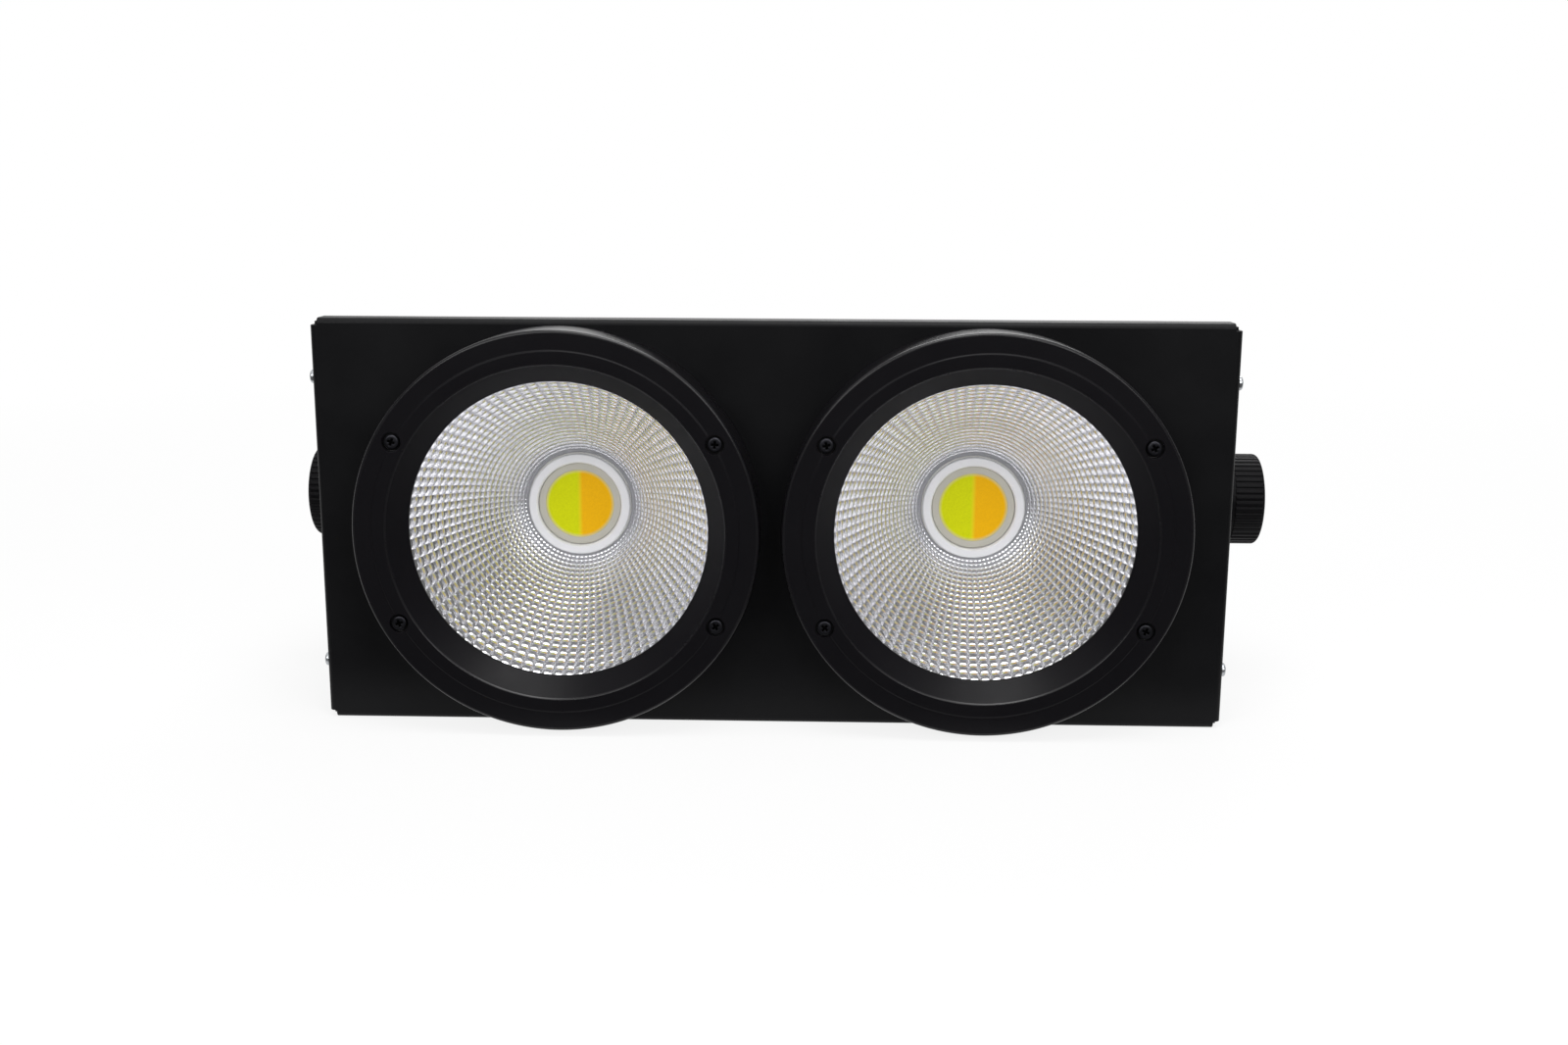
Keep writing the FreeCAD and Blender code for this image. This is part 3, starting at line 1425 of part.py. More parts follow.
def power_leads():
    """Mains leads from the inlet to fuse, supply and outlet, and a pair to the driver."""
    x, inlet_z = socket_centres()["power_inlet"]
    outlet_z = socket_centres()["power_outlet"][1]
    barrel = panel_outer + socket_flange - socket_length
    fuse_end = panel_outer + fuse_flange - fuse_length
    upper, lower = terminal_heights()
    face = terminal_face()
    turn_in = barrel - 2 * part_inset
    turn_down = face + 3 * part_inset
    leads = []
    for index in (0, 1):
        lead_x = x + index * lead_pitch
        end_x = lead_x - 2 * lane_pitch
        leads.append([vec(lead_x, barrel, inlet_z), vec(lead_x, turn_in, inlet_z),
                      vec(end_x, turn_down, upper), vec(end_x, face, upper)])
    near = fuse_x + fuse_lead_offset
    far = fuse_x - fuse_lead_offset
    fuse_turn = fuse_end - 3 * part_inset
    leads.append([vec(x - lead_pitch, barrel, inlet_z), vec(x - lead_pitch, turn_in, inlet_z),
                  vec(near, fuse_turn + part_inset / 2, mid_z), vec(near, fuse_end, mid_z)])
    end_x = x - 3 * lane_pitch
    leads.append([vec(far, fuse_end, mid_z), vec(far, fuse_turn, mid_z),
                  vec(end_x, turn_down, upper), vec(end_x, face, upper)])
    for index in (0, 1, 2):
        start_x = x + outlet_start_offset + index * lane_pitch
        lane_x = outlet_lane + index * lane_pitch
        end_x = x + (index - 1) * lead_pitch
        leads.append([vec(start_x, face, upper), vec(start_x, turn_down + part_inset, upper),
                      vec(lane_x, turn_in, inlet_z), vec(lane_x, turn_in, mid_z),
                      vec(end_x, turn_in - part_inset / 2, outlet_z), vec(end_x, barrel, outlet_z)])
    for index in (0, 1):
        start_x = supply_reach + lead_pitch / 2 - index * lead_pitch
        lane = supply_lane_rise + index * lane_pitch
        middle = vec(0, face, lane - lane_sag)
        half = [vec(start_x, face, lower), vec(start_x, face + part_inset, lower),
                vec(start_x - 2 * part_inset, face, lane)]
        other = [vec(-point.x, point.y, point.z) for point in reversed(half)]
        leads.append(half + [middle] + other)
    return group([lead(points, lead_radius) for points in leads])


def lamp_leads():
    """Two leads from the driver to each emitter board, through the chassis plate's lead holes."""
    lower = terminal_heights()[1]
    face = terminal_face()
    leads = []
    for sign in SIDES.values():
        hole_x = sign * (lamp_x + lead_hole_reach)
        pad_x = sign * (lamp_x + board_size / 2 - pad_inset)
        for index in (-1, 1):
            offset = index * lead_pitch / 2
            hole_z = mid_z - lead_hole_drop + offset
            pad_z = mid_z - board_size / 2 + pad_inset + offset
            ending = [vec(hole_x, face, hole_z), vec(hole_x, lead_front, hole_z),
                      vec(pad_x, lead_front - lane_sag, pad_z), vec(pad_x, board_front, pad_z)]
            if sign < 0:
                start_x = -supply_reach + 2 * lead_pitch + offset
                leads.append([vec(start_x, face, lower),
                              vec(start_x, face + 2 * part_inset, lower)] + ending)
            else:
                start_x = -supply_reach - 2 * lead_pitch + offset
                low = lamp_lane_rise + offset
                lane = sink_y + 4 * part_inset
                leads.append([vec(start_x, face, lower), vec(start_x, face + part_inset, lower),
                              vec(start_x + 2 * part_inset, lane, low), vec(0, lane, low - lane_sag),
                              vec(lamp_x + lead_hole_reach - part_inset, lane, low)] + ending)
    return group([lead(points, lead_radius) for points in leads])


def control_leads():
    """Leads from the control board: a pair to each fan and three to each signal socket."""
    back = control_front - board_sheet
    leads = []
    for sign in SIDES.values():
        start_x = sign * (control_width / 2 - 2 * part_inset)
        end_x = sign * (lamp_x - fan_size / 2)
        for index in (-1, 1):
            z = mid_z + control_centre + index * lane_pitch / 2
            leads.append([vec(start_x, back, z), vec(start_x, back - 2 * part_inset, z),
                          vec(end_x, back - 2 * part_inset, z)])
    barrel = panel_outer + socket_flange - socket_length
    board_z = mid_z + control_centre - control_height / 2 + part_inset
    for name in ("signal_inlet", "signal_outlet"):
        x, z = socket_centres()[name]
        for index in (-1, 0, 1):
            lead_x = x + index * lead_pitch
            leads.append([vec(lead_x, barrel, z), vec(lead_x, barrel - 2 * part_inset, z),
                          vec(lead_x, barrel - 2 * part_inset, board_z), vec(lead_x, back, board_z)])
    return group([lead(points, lead_radius) for points in leads])


def build():
    """All nodes by name."""
    nodes = {
        "front_tray": front_tray(),
        "rear_shell": rear_shell(),
        "chassis_plate": chassis_plate(),
        "bezel_screws": bezel_screws(),
        "bezel_nuts": bezel_nuts(),
        "tray_screws": tray_screws(),
        "shell_screws": shell_screws(),
        "sink_screws": sink_screws(),
        "fan_screws": fan_screws(),
        "socket_screws": socket_screws(),
        "board_standoffs": board_standoffs(),
        "power_supply": power_supply(),
        "driver_board": driver_board(),
        "control_board": control_board(),
        "display_module": display_module(),
        "display_window": display_window(),
        "power_inlet": power_socket(socket_centres()["power_inlet"], 30),
        "power_outlet": power_socket(socket_centres()["power_outlet"], 60),
        "signal_inlet": signal_inlet(),
        "signal_outlet": signal_outlet(),
        "signal_latch": signal_latch(),
        "fuse_holder": fuse_holder(),
        "fuse_cap": fuse_cap(),
        "safety_bracket": safety_bracket(),
        "pivot_nuts": pivot_nuts(),
        "friction_discs": friction_discs(),
        "fan_guards": group([fan_guard(sign) for sign in SIDES.values()]),
        "dam_rings": group([dam_ring(sign) for sign in SIDES.values()]),
        "cool_phosphors": group([phosphor(sign, -1) for sign in SIDES.values()]),
        "warm_phosphors": group([phosphor(sign, 1) for sign in SIDES.values()]),
        "yoke": yoke(),
        "knob_washers": knob_washers(),
        "power_leads": power_leads(),
        "lamp_leads": lamp_leads(),
        "control_leads": control_leads(),
    }
    for name, place in button_places().items():
        nodes[name] = menu_button(place)
    for side, sign in SIDES.items():
        nodes["side_plate_" + side] = side_plate(sign)
        nodes["bezel_" + side] = bezel(sign)
        nodes["reflector_" + side] = reflector(sign)
        nodes["holder_ring_" + side] = holder_ring(sign)
        nodes["emitter_board_" + side] = emitter_board(sign)
        nodes["heat_sink_" + side] = heat_sink(sign)
        nodes["fan_frame_" + side] = fan_frame(sign)
        nodes["fan_rotor_" + side] = fan_rotor(sign)
        nodes["knob_" + side] = knob(sign)
        nodes["knob_stud_" + side] = knob_stud(sign)
    return nodes


os.makedirs("parts", exist_ok=True)
for name, shape in build().items():
    volumes = [solid.Volume for solid in shape.Solids]
    print(name, "solids", len(volumes), "volume", round(sum(volumes)), "valid", shape.isValid())
    shape.exportStep(os.path.join("parts", name + ".step"))
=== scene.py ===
import math

import bpy
from mathutils import Matrix, Vector


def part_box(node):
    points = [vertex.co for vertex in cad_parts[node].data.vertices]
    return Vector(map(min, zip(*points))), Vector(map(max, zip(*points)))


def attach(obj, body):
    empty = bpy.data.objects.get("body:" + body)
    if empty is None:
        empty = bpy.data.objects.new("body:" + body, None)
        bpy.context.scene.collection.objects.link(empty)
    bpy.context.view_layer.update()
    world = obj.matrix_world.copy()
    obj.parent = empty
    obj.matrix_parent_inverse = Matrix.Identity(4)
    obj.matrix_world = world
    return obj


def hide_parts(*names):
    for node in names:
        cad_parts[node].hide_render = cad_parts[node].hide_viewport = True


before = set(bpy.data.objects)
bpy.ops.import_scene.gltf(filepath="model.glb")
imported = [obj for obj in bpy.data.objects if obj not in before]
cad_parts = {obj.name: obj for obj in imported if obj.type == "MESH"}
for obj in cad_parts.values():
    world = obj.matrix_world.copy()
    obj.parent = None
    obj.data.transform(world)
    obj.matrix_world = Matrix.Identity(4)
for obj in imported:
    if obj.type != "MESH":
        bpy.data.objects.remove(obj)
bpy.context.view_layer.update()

# Chassis plate, screwed to the side plates, that carries both lamps and the boards.
# It is galvanised steel sheet, sheared and folded, so it shows grey zinc crystals.
# The boards stand on brass pillars, and each board is green laminate with its parts soldered on.
MM = 0.001


def linear(colour):
    """Linear red, green, blue and alpha of an sRGB hex colour."""
    channels = []
    for start in (1, 3, 5):
        value = int(colour[start:start + 2], 16) / 255
        channels.append(value / 12.92 if value <= 0.04045 else ((value + 0.055) / 1.055) ** 2.4)
    return (*channels, 1.0)


def add(tree, kind, inputs=None, stops=None, **settings):
    """Adds one node, sets it up and fills its inputs with values or with other nodes' outputs."""
    node = tree.nodes.new(kind)
    for name, value in settings.items():
        setattr(node, name, value)
    for name, value in (inputs or {}).items():
        if isinstance(value, bpy.types.NodeSocket):
            tree.links.new(value, node.inputs[name])
        else:
            node.inputs[name].default_value = value
    if stops:
        for element, (position, colour) in zip(node.color_ramp.elements, stops):
            element.position = position
            element.color = linear(colour)
    return node


def new_finish(name):
    """An empty material: itself, its nodes, its surface shader and the place on the piece."""
    material = bpy.data.materials.new(name)
    material.use_nodes = True
    tree = material.node_tree
    place = add(tree, "ShaderNodeTexCoord").outputs["Object"]
    return material, tree, tree.nodes["Principled BSDF"], place


def choose(piece):
    """Selects one piece and nothing else."""
    bpy.ops.object.select_all(action="DESELECT")
    piece.select_set(True)
    bpy.context.view_layer.objects.active = piece


def soften(piece, edge, corner=32):
    """Rounds the sharp edges by some millimetres and shades the piece so that its flats stay flat."""
    choose(piece)
    if edge:
        bevel = piece.modifiers.new("edges", "BEVEL")
        bevel.width = edge * MM
        bevel.segments = 2
        bevel.limit_method = "ANGLE"
        bevel.angle_limit = math.radians(corner)
        bevel.use_clamp_overlap = False
        bpy.ops.object.modifier_apply(modifier=bevel.name)
    bpy.ops.object.shade_smooth_by_angle(angle=math.radians(corner + 16 if edge else corner))
    flats = piece.modifiers.new("flats", "WEIGHTED_NORMAL")
    flats.keep_sharp = True
    bpy.ops.object.modifier_apply(modifier=flats.name)


def dressed_copy(node, name, edge, *materials):
    """Copy of a CAD node with its triangles merged, its edges rounded by millimetres, and its materials."""
    piece = bpy.data.objects.new(name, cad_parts[node].data.copy())
    bpy.context.scene.collection.objects.link(piece)
    piece.data.materials.clear()
    choose(piece)
    bpy.ops.mesh.customdata_custom_splitnormals_clear()
    bpy.ops.object.mode_set(mode="EDIT")
    bpy.ops.mesh.select_all(action="SELECT")
    bpy.ops.mesh.remove_doubles(threshold=0.002 * MM)
    bpy.ops.mesh.dissolve_limited(angle_limit=math.radians(0.3))
    bpy.ops.object.mode_set(mode="OBJECT")
    soften(piece, edge)
    for material in materials:
        piece.data.materials.append(material)
    return piece


def paint(piece, material, inside, whole=False):
    """Gives a further material to the faces whose middles, or all of whose corners, pass a test."""
    piece.data.materials.append(material)
    index = len(piece.data.materials) - 1
    for face in piece.data.polygons:
        points = [piece.data.vertices[corner].co for corner in face.vertices] if whole else [face.center]
        if all(inside(point / MM) for point in points):
            face.material_index = index


# Galvanised steel: a dull grey metal whose zinc crystals, 4 to 8 mm across, catch the light differently.
galvanised, tree, surface, place = new_finish("galvanised_steel_sheared")
crystals = add(tree, "ShaderNodeTexVoronoi", {"Vector": place, "Scale": 1 / (6 * MM)})
crystal_tone = add(tree, "ShaderNodeSeparateColor", {"Color": crystals.outputs["Color"]})
zinc_colour = add(tree, "ShaderNodeValToRGB", {"Fac": crystal_tone.outputs["Red"]},
                  stops=((0.0, "#8F9496"), (1.0, "#A9ADAF")))
zinc_polish = add(tree, "ShaderNodeMapRange", {"Value": crystal_tone.outputs["Green"],
                                               "To Min": 0.36, "To Max": 0.5})
tree.links.new(zinc_colour.outputs["Color"], surface.inputs["Base Color"])
tree.links.new(zinc_polish.outputs["Result"], surface.inputs["Roughness"])
surface.inputs["Metallic"].default_value = 1.0

chassis = dressed_copy("chassis_plate", "chassis_plate_galvanised", 0.25, galvanised)
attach(chassis, "housing")
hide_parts("chassis_plate")


def metal(name, colour, roughness, scratch, relief):
    """Turned or plated metal with fine marks of a width and relief in millimetres and uneven polish."""
    material, tree, surface, place = new_finish(name)
    marks = add(tree, "ShaderNodeTexNoise", {"Vector": place, "Scale": 1 / (scratch * MM), "Detail": 3.0})
    wear = add(tree, "ShaderNodeTexNoise", {"Vector": place, "Scale": 1 / (9 * MM), "Detail": 2.0})
    polish = add(tree, "ShaderNodeMapRange", {"Value": wear.outputs["Fac"], "From Min": 0.3, "From Max": 0.7,
                                              "To Min": roughness * 0.8, "To Max": roughness * 1.2})
    bump = add(tree, "ShaderNodeBump", {"Height": marks.outputs["Fac"], "Strength": 0.5,
                                        "Distance": relief * MM})
    surface.inputs["Base Color"].default_value = linear(colour)
    surface.inputs["Metallic"].default_value = 1.0
    tree.links.new(polish.outputs["Result"], surface.inputs["Roughness"])
    tree.links.new(bump.outputs["Normal"], surface.inputs["Normal"])
    return material


def moulded(name, colour, roughness, grain, relief, gloss=0.5):
    """Moulded plastic: a spark-eroded grain of a width and relief in millimetres and faint handling marks."""
    material, tree, surface, place = new_finish(name)
    pits = add(tree, "ShaderNodeTexNoise", {"Vector": place, "Scale": 1 / (grain * MM), "Detail": 2.0})
    patches = add(tree, "ShaderNodeTexNoise", {"Vector": place, "Scale": 1 / (32 * MM), "Detail": 4.0})
    polish = add(tree, "ShaderNodeMapRange", {
        "Value": patches.outputs["Fac"], "From Min": 0.3, "From Max": 0.7,
        "To Min": roughness - 0.05, "To Max": roughness + 0.05})
    bump = add(tree, "ShaderNodeBump", {"Height": pits.outputs["Fac"], "Strength": 0.6,
                                        "Distance": relief * MM})
    surface.inputs["Base Color"].default_value = linear(colour)
    surface.inputs["Specular IOR Level"].default_value = gloss
    tree.links.new(polish.outputs["Result"], surface.inputs["Roughness"])
    tree.links.new(bump.outputs["Normal"], surface.inputs["Normal"])
    return material


# Turned brass: a warm yellow metal with fine turning marks.
brass = metal("brass_turned", "#C9A661", 0.28, 0.6, 0.01)
pillars = dressed_copy("board_standoffs", "board_standoffs_turned", 0.2, brass)
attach(pillars, "housing")
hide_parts("board_standoffs")

# Glass-cloth laminate under green lacquer: a glossy deep green with a faint 0.8 mm weave.
laminate, tree, surface, place = new_finish("glass_laminate_lacquered")
cloth = add(tree, "ShaderNodeTexChecker", {"Vector": place, "Scale": 1 / (0.8 * MM),
                                           "Color1": linear("#1D5C36"), "Color2": linear("#23653D")})
tree.links.new(cloth.outputs["Color"], surface.inputs["Base Color"])
surface.inputs["Roughness"].default_value = 0.32
chip_plastic = moulded("epoxy_moulded", "#1C1C1E", 0.55, 0.5, 0.02)
sleeve_plastic = moulded("shrink_sleeve_extruded", "#20242E", 0.35, 1.0, 0.01)
terminal_plastic = moulded("polyamide_green_moulded", "#3C7F4B", 0.45, 0.7, 0.02)
tape = moulded("polyester_tape_wound", "#D8B23C", 0.38, 1.2, 0.03)
ferrite = moulded("ferrite_sintered", "#3A3B3E", 0.6, 0.6, 0.04)

above_board = 61.36
mid_height = 103.4
transformer_x, transformer_half = 190, 15.2
capacitors_low, capacitors_high = 66, 86
terminal_offset, terminal_half = 48, 4.1
chokes_half = 24
control_front, control_back = 111.2, 112.9
supply = dressed_copy("power_supply", "power_supply_fitted", 0.25, laminate)
paint(supply, chip_plastic, lambda at: at.y > above_board)
paint(supply, tape, lambda at: at.y > above_board and abs(at.x - transformer_x) < transformer_half
      and abs(at.z - mid_height) < transformer_half)
paint(supply, sleeve_plastic, lambda at: at.y > above_board and capacitors_low < at.z < capacitors_high)
paint(supply, terminal_plastic, lambda at: at.y > above_board
      and abs(abs(at.z - mid_height) - terminal_offset) < terminal_half)
driver = dressed_copy("driver_board", "driver_board_fitted", 0.25, laminate)
paint(driver, chip_plastic, lambda at: at.y > above_board)
paint(driver, ferrite, lambda at: at.y > above_board and abs(at.z - mid_height) < chokes_half)
paint(driver, terminal_plastic, lambda at: at.y > above_board
      and abs(at.z - mid_height + terminal_offset) < terminal_half)
control = dressed_copy("control_board", "control_board_fitted", 0.25, laminate)
paint(control, chip_plastic, lambda at: at.y < control_front or at.y > control_back)
for board, node in ((supply, "power_supply"), (driver, "driver_board"), (control, "control_board")):
    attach(board, "housing")
    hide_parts(node)

# Emitters: each is a square aluminium board under white lacquer with two half discs of phosphor.
# A silicone dam holds the phosphor in, and a white ring clamps the board to the heat sink's pedestal.
# The dam and the ring are turned shapes; the phosphor is poured, so its face is level and smooth.
LAMPS = ("left", "right")


def middle_of(node):
    """Middle of a CAD node's box."""
    low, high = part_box(node)
    return (low + high) / 2


def eased(corners, steps=5):
    """Outline points from corners of radius, distance and, where rounded, the rounding, in millimetres."""
    points = []
    for index, (radius, distance, *rounding) in enumerate(corners):
        corner = Vector((radius, distance))
        if not rounding:
            points.append(corner)
            continue
        before = (Vector(corners[index - 1][:2]) - corner).normalized()
        after = (Vector(corners[(index + 1) % len(corners)][:2]) - corner).normalized()
        half = before.angle(after) / 2
        centre = corner + (before + after).normalized() * (rounding[0] / math.sin(half))
        start = corner + before * (rounding[0] / math.tan(half)) - centre
        finish = corner + after * (rounding[0] / math.tan(half)) - centre
        swing = start.angle_signed(finish)
        for step in range(steps + 1):
            points.append(centre + Matrix.Rotation(-swing * step / steps, 2) @ start)
    return points


def turned(name, points, foot, along, steps):
    """Solid of revolution: a loop of edges through (radius, distance) points is spun round its axis."""
    bpy.ops.object.select_all(action="DESELECT")
    bpy.ops.mesh.primitive_circle_add(vertices=len(points), radius=MM)
    piece = bpy.context.object
    piece.name = name
    out = Vector((0, 0, 1)) if abs(along.z) < 0.5 else Vector((1, 0, 0))
    for vertex, (radius, distance) in zip(piece.data.vertices, points):
        vertex.co = foot + out * radius * MM + along * distance * MM
    bpy.ops.object.mode_set(mode="EDIT")
    bpy.ops.mesh.select_all(action="SELECT")
    bpy.ops.mesh.spin(steps=steps, angle=math.tau, center=foot, axis=along)
    bpy.ops.mesh.select_all(action="SELECT")
    bpy.ops.mesh.remove_doubles(threshold=0.001 * MM)
    bpy.ops.mesh.normals_make_consistent(inside=False)
    bpy.ops.object.mode_set(mode="OBJECT")
    return piece


def for_both(one, name):
    """The left lamp's piece, and its copy in the right lamp, which has its own mesh."""
    shift = Vector((middle_of("bezel_right").x - middle_of("bezel_left").x, 0, 0))
    copy = one.copy()
    copy.data = one.data.copy()
    copy.data.transform(Matrix.Translation(shift))
    bpy.context.scene.collection.objects.link(copy)
    one.name = name + "_left"
    copy.name = name + "_right"
    return ("left", one), ("right", copy)


BACK = Vector((0, 1, 0))
RING_BORE, RING_RADIUS, RING_HEIGHT = 22.4, 27.3, 3.6
DAM_BORE, DAM_RADIUS, DAM_HEIGHT = 18.4, 22.2, 1.1
PHOSPHOR_HEIGHT = 0.8
board_lacquer = moulded("aluminium_board_lacquered", "#E6E6E1", 0.35, 1.5, 0.01)
holder_plastic = moulded("white_polyester_moulded", "#EFEFF2", 0.38, 0.8, 0.02)
dam_silicone = moulded("dam_silicone_dispensed", "#C2BFB4", 0.42, 1.4, 0.03)

# Phosphor in silicone: a strong colour, slightly glossy, with grains drawn 0.7 mm wide to show at all.
# It thins out over the last 2 mm towards the dam, and pales over 1.8 mm where both halves meet.
phosphors = {}
lamp_middle = middle_of("bezel_right")
for name, deep, pale in (("cool", "#D2D800", "#DCE202"), ("warm", "#F2B400", "#F9BC00")):
    material, tree, surface, place = new_finish(name + "_phosphor_poured")
    grains = add(tree, "ShaderNodeTexNoise", {"Vector": place, "Scale": 1 / (0.7 * MM), "Detail": 2.0})
    colour = add(tree, "ShaderNodeValToRGB", {"Fac": grains.outputs["Fac"]}, stops=((0.3, deep), (0.7, pale)))
    parts = add(tree, "ShaderNodeSeparateXYZ", {"Vector": place})
    outwards = add(tree, "ShaderNodeMath", {0: parts.outputs["X"]}, operation="ABSOLUTE")
    across = add(tree, "ShaderNodeMath", {0: outwards.outputs["Value"], 1: lamp_middle.x},
                 operation="SUBTRACT")
    up = add(tree, "ShaderNodeMath", {0: parts.outputs["Z"], 1: lamp_middle.z}, operation="SUBTRACT")
    flat = add(tree, "ShaderNodeCombineXYZ", {"X": across.outputs["Value"], "Z": up.outputs["Value"]})
    radius = add(tree, "ShaderNodeVectorMath", {"Vector": flat.outputs["Vector"]}, operation="LENGTH")
    rim = add(tree, "ShaderNodeMapRange", {
        "Value": radius.outputs["Value"], "From Min": (DAM_BORE - 2) * MM, "From Max": DAM_BORE * MM,
        "To Min": 0.0, "To Max": 0.85}, interpolation_type="SMOOTHSTEP")
    aside = add(tree, "ShaderNodeMath", {0: across.outputs["Value"]}, operation="ABSOLUTE")
    seam = add(tree, "ShaderNodeMapRange", {
        "Value": aside.outputs["Value"], "From Min": 0.0, "From Max": 1.8 * MM,
        "To Min": 0.75, "To Max": 0.0}, interpolation_type="SMOOTHSTEP")
    meeting = add(tree, "ShaderNodeMix", {"Factor": seam.outputs["Result"], "A": colour.outputs["Color"],
                                          "B": linear("#EBD618")}, data_type="RGBA")
    thin = add(tree, "ShaderNodeMix", {"Factor": rim.outputs["Result"], "A": meeting.outputs["Result"],
                                       "B": linear("#D2C88C")}, data_type="RGBA")
    ripple = add(tree, "ShaderNodeBump", {"Height": grains.outputs["Fac"], "Strength": 0.4,
                                          "Distance": 0.02 * MM})
    tree.links.new(thin.outputs["Result"], surface.inputs["Base Color"])
    tree.links.new(ripple.outputs["Normal"], surface.inputs["Normal"])
    surface.inputs["Roughness"].default_value = 0.5
    surface.inputs["IOR"].default_value = 1.41
    surface.inputs["Specular IOR Level"].default_value = 0.2
    phosphors[name] = material

for side in LAMPS:
    board = dressed_copy("emitter_board_" + side, "emitter_board_lacquered_" + side, 0.2, board_lacquer)
    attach(board, "housing")
    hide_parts("emitter_board_" + side)

axis = middle_of("bezel_left")
board_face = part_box("emitter_board_left")[0].y / MM
foot = Vector((axis.x, 0, axis.z))
ring = turned("holder_ring_moulded", eased([
    (RING_BORE, board_face), (RING_RADIUS, board_face), (RING_RADIUS, board_face - RING_HEIGHT, 1.0),
    (RING_BORE + 0.8, board_face - RING_HEIGHT, 0.6), (RING_BORE, board_face - RING_HEIGHT + 1, 0.3)]),
    foot, BACK, 128)
soften(ring, 0)
ring.data.materials.append(holder_plastic)
for side, piece in for_both(ring, "holder_ring_moulded"):
    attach(piece, "housing")
    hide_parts("holder_ring_" + side)
dam = turned("dam_dispensed", eased([
    (DAM_BORE, board_face), (DAM_RADIUS, board_face), (DAM_RADIUS, board_face - DAM_HEIGHT, 0.5),
    (DAM_BORE, board_face - DAM_HEIGHT, 0.5)]), foot, BACK, 128)
soften(dam, 0)
dam.data.materials.append(dam_silicone)
for side, piece in for_both(dam, "dam_dispensed"):
    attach(piece, "housing")
    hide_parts("dam_rings")
for name, half in (("cool", -1), ("warm", 1)):
    bpy.ops.object.select_all(action="DESELECT")
    bpy.ops.mesh.primitive_cylinder_add(vertices=128, radius=DAM_BORE * MM, depth=PHOSPHOR_HEIGHT * MM,
                                        location=(axis.x, (board_face - PHOSPHOR_HEIGHT / 2) * MM, axis.z),
                                        rotation=(math.radians(90), 0, 0))
    disc = bpy.context.object
    bpy.ops.object.transform_apply(location=True, rotation=True, scale=True)
    bpy.ops.object.mode_set(mode="EDIT")
    bpy.ops.mesh.select_all(action="SELECT")
    bpy.ops.mesh.bisect(plane_co=(axis.x, 0, axis.z), plane_no=(half, 0, 0), use_fill=True,
                        clear_inner=True, clear_outer=False)
    bpy.ops.object.mode_set(mode="OBJECT")
    soften(disc, 0)
    disc.data.materials.append(phosphors[name])
    for side, piece in for_both(disc, name + "_phosphor"):
        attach(piece, "housing")
        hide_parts(name + "_phosphors")

# Heat sinks: aluminium extrusions, cut to length and drilled, screwed to the chassis plate's back.
# Extruding leaves fine die lines that run along the fins.
extruded, tree, surface, place = new_finish("aluminium_extruded")
stretch = add(tree, "ShaderNodeMapping", {"Vector": place, "Scale": (1.0, 1.0, 0.01)})
die_lines = add(tree, "ShaderNodeTexNoise", {"Vector": stretch.outputs["Vector"], "Scale": 1 / (0.8 * MM),
                                             "Detail": 3.0})
sink_polish = add(tree, "ShaderNodeMapRange", {"Value": die_lines.outputs["Fac"],
                                               "To Min": 0.28, "To Max": 0.45})
sink_bump = add(tree, "ShaderNodeBump", {"Height": die_lines.outputs["Fac"], "Strength": 0.5,
                                         "Distance": 0.02 * MM})
surface.inputs["Base Color"].default_value = linear("#C4C7CA")
surface.inputs["Metallic"].default_value = 1.0
tree.links.new(sink_polish.outputs["Result"], surface.inputs["Roughness"])
tree.links.new(sink_bump.outputs["Normal"], surface.inputs["Normal"])

zinc_plate = metal("steel_zinc_plated", "#B4B7BA", 0.3, 0.5, 0.008)
black_plate = metal("steel_black_plated", "#303034", 0.42, 0.5, 0.01)
for side in LAMPS:
    sink = dressed_copy("heat_sink_" + side, "heat_sink_extruded_" + side, 0.25, extruded)
    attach(sink, "housing")
    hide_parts("heat_sink_" + side)
for node, slot in (("sink_screws", "plated_screw"), ("bezel_nuts", "steel"), ("pivot_nuts", "steel")):
    fasteners = dressed_copy(node, node + "_plated", 0.12, zinc_plate)
    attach(fasteners, "housing")
    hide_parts(node)

# Fans: moulded frame and rotor of black glass-filled polyester, with a finger guard outside the panel.
# The guard is nickel-plated steel wire, its rings spot welded on two crossed wires.
fan_plastic = moulded("black_polyester_moulded", "#1A1B1D", 0.5, 0.8, 0.03)
nickel = metal("steel_wire_nickel_plated", "#BDBBB6", 0.2, 1.0, 0.01)
for side in LAMPS:
    frame_part = dressed_copy("fan_frame_" + side, "fan_frame_moulded_" + side, 0.4, fan_plastic)
    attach(frame_part, "housing")
    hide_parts("fan_frame_" + side)
    rotor = dressed_copy("fan_rotor_" + side, "fan_rotor_moulded_" + side, 0.3, fan_plastic)
    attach(rotor, "fan_rotor_" + side)
    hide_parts("fan_rotor_" + side)
guards = dressed_copy("fan_guards", "fan_guards_plated", 0, nickel)
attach(guards, "housing")
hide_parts("fan_guards")
fan_screws = dressed_copy("fan_screws", "fan_screws_black", 0.15, black_plate)
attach(fan_screws, "housing")
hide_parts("fan_screws")

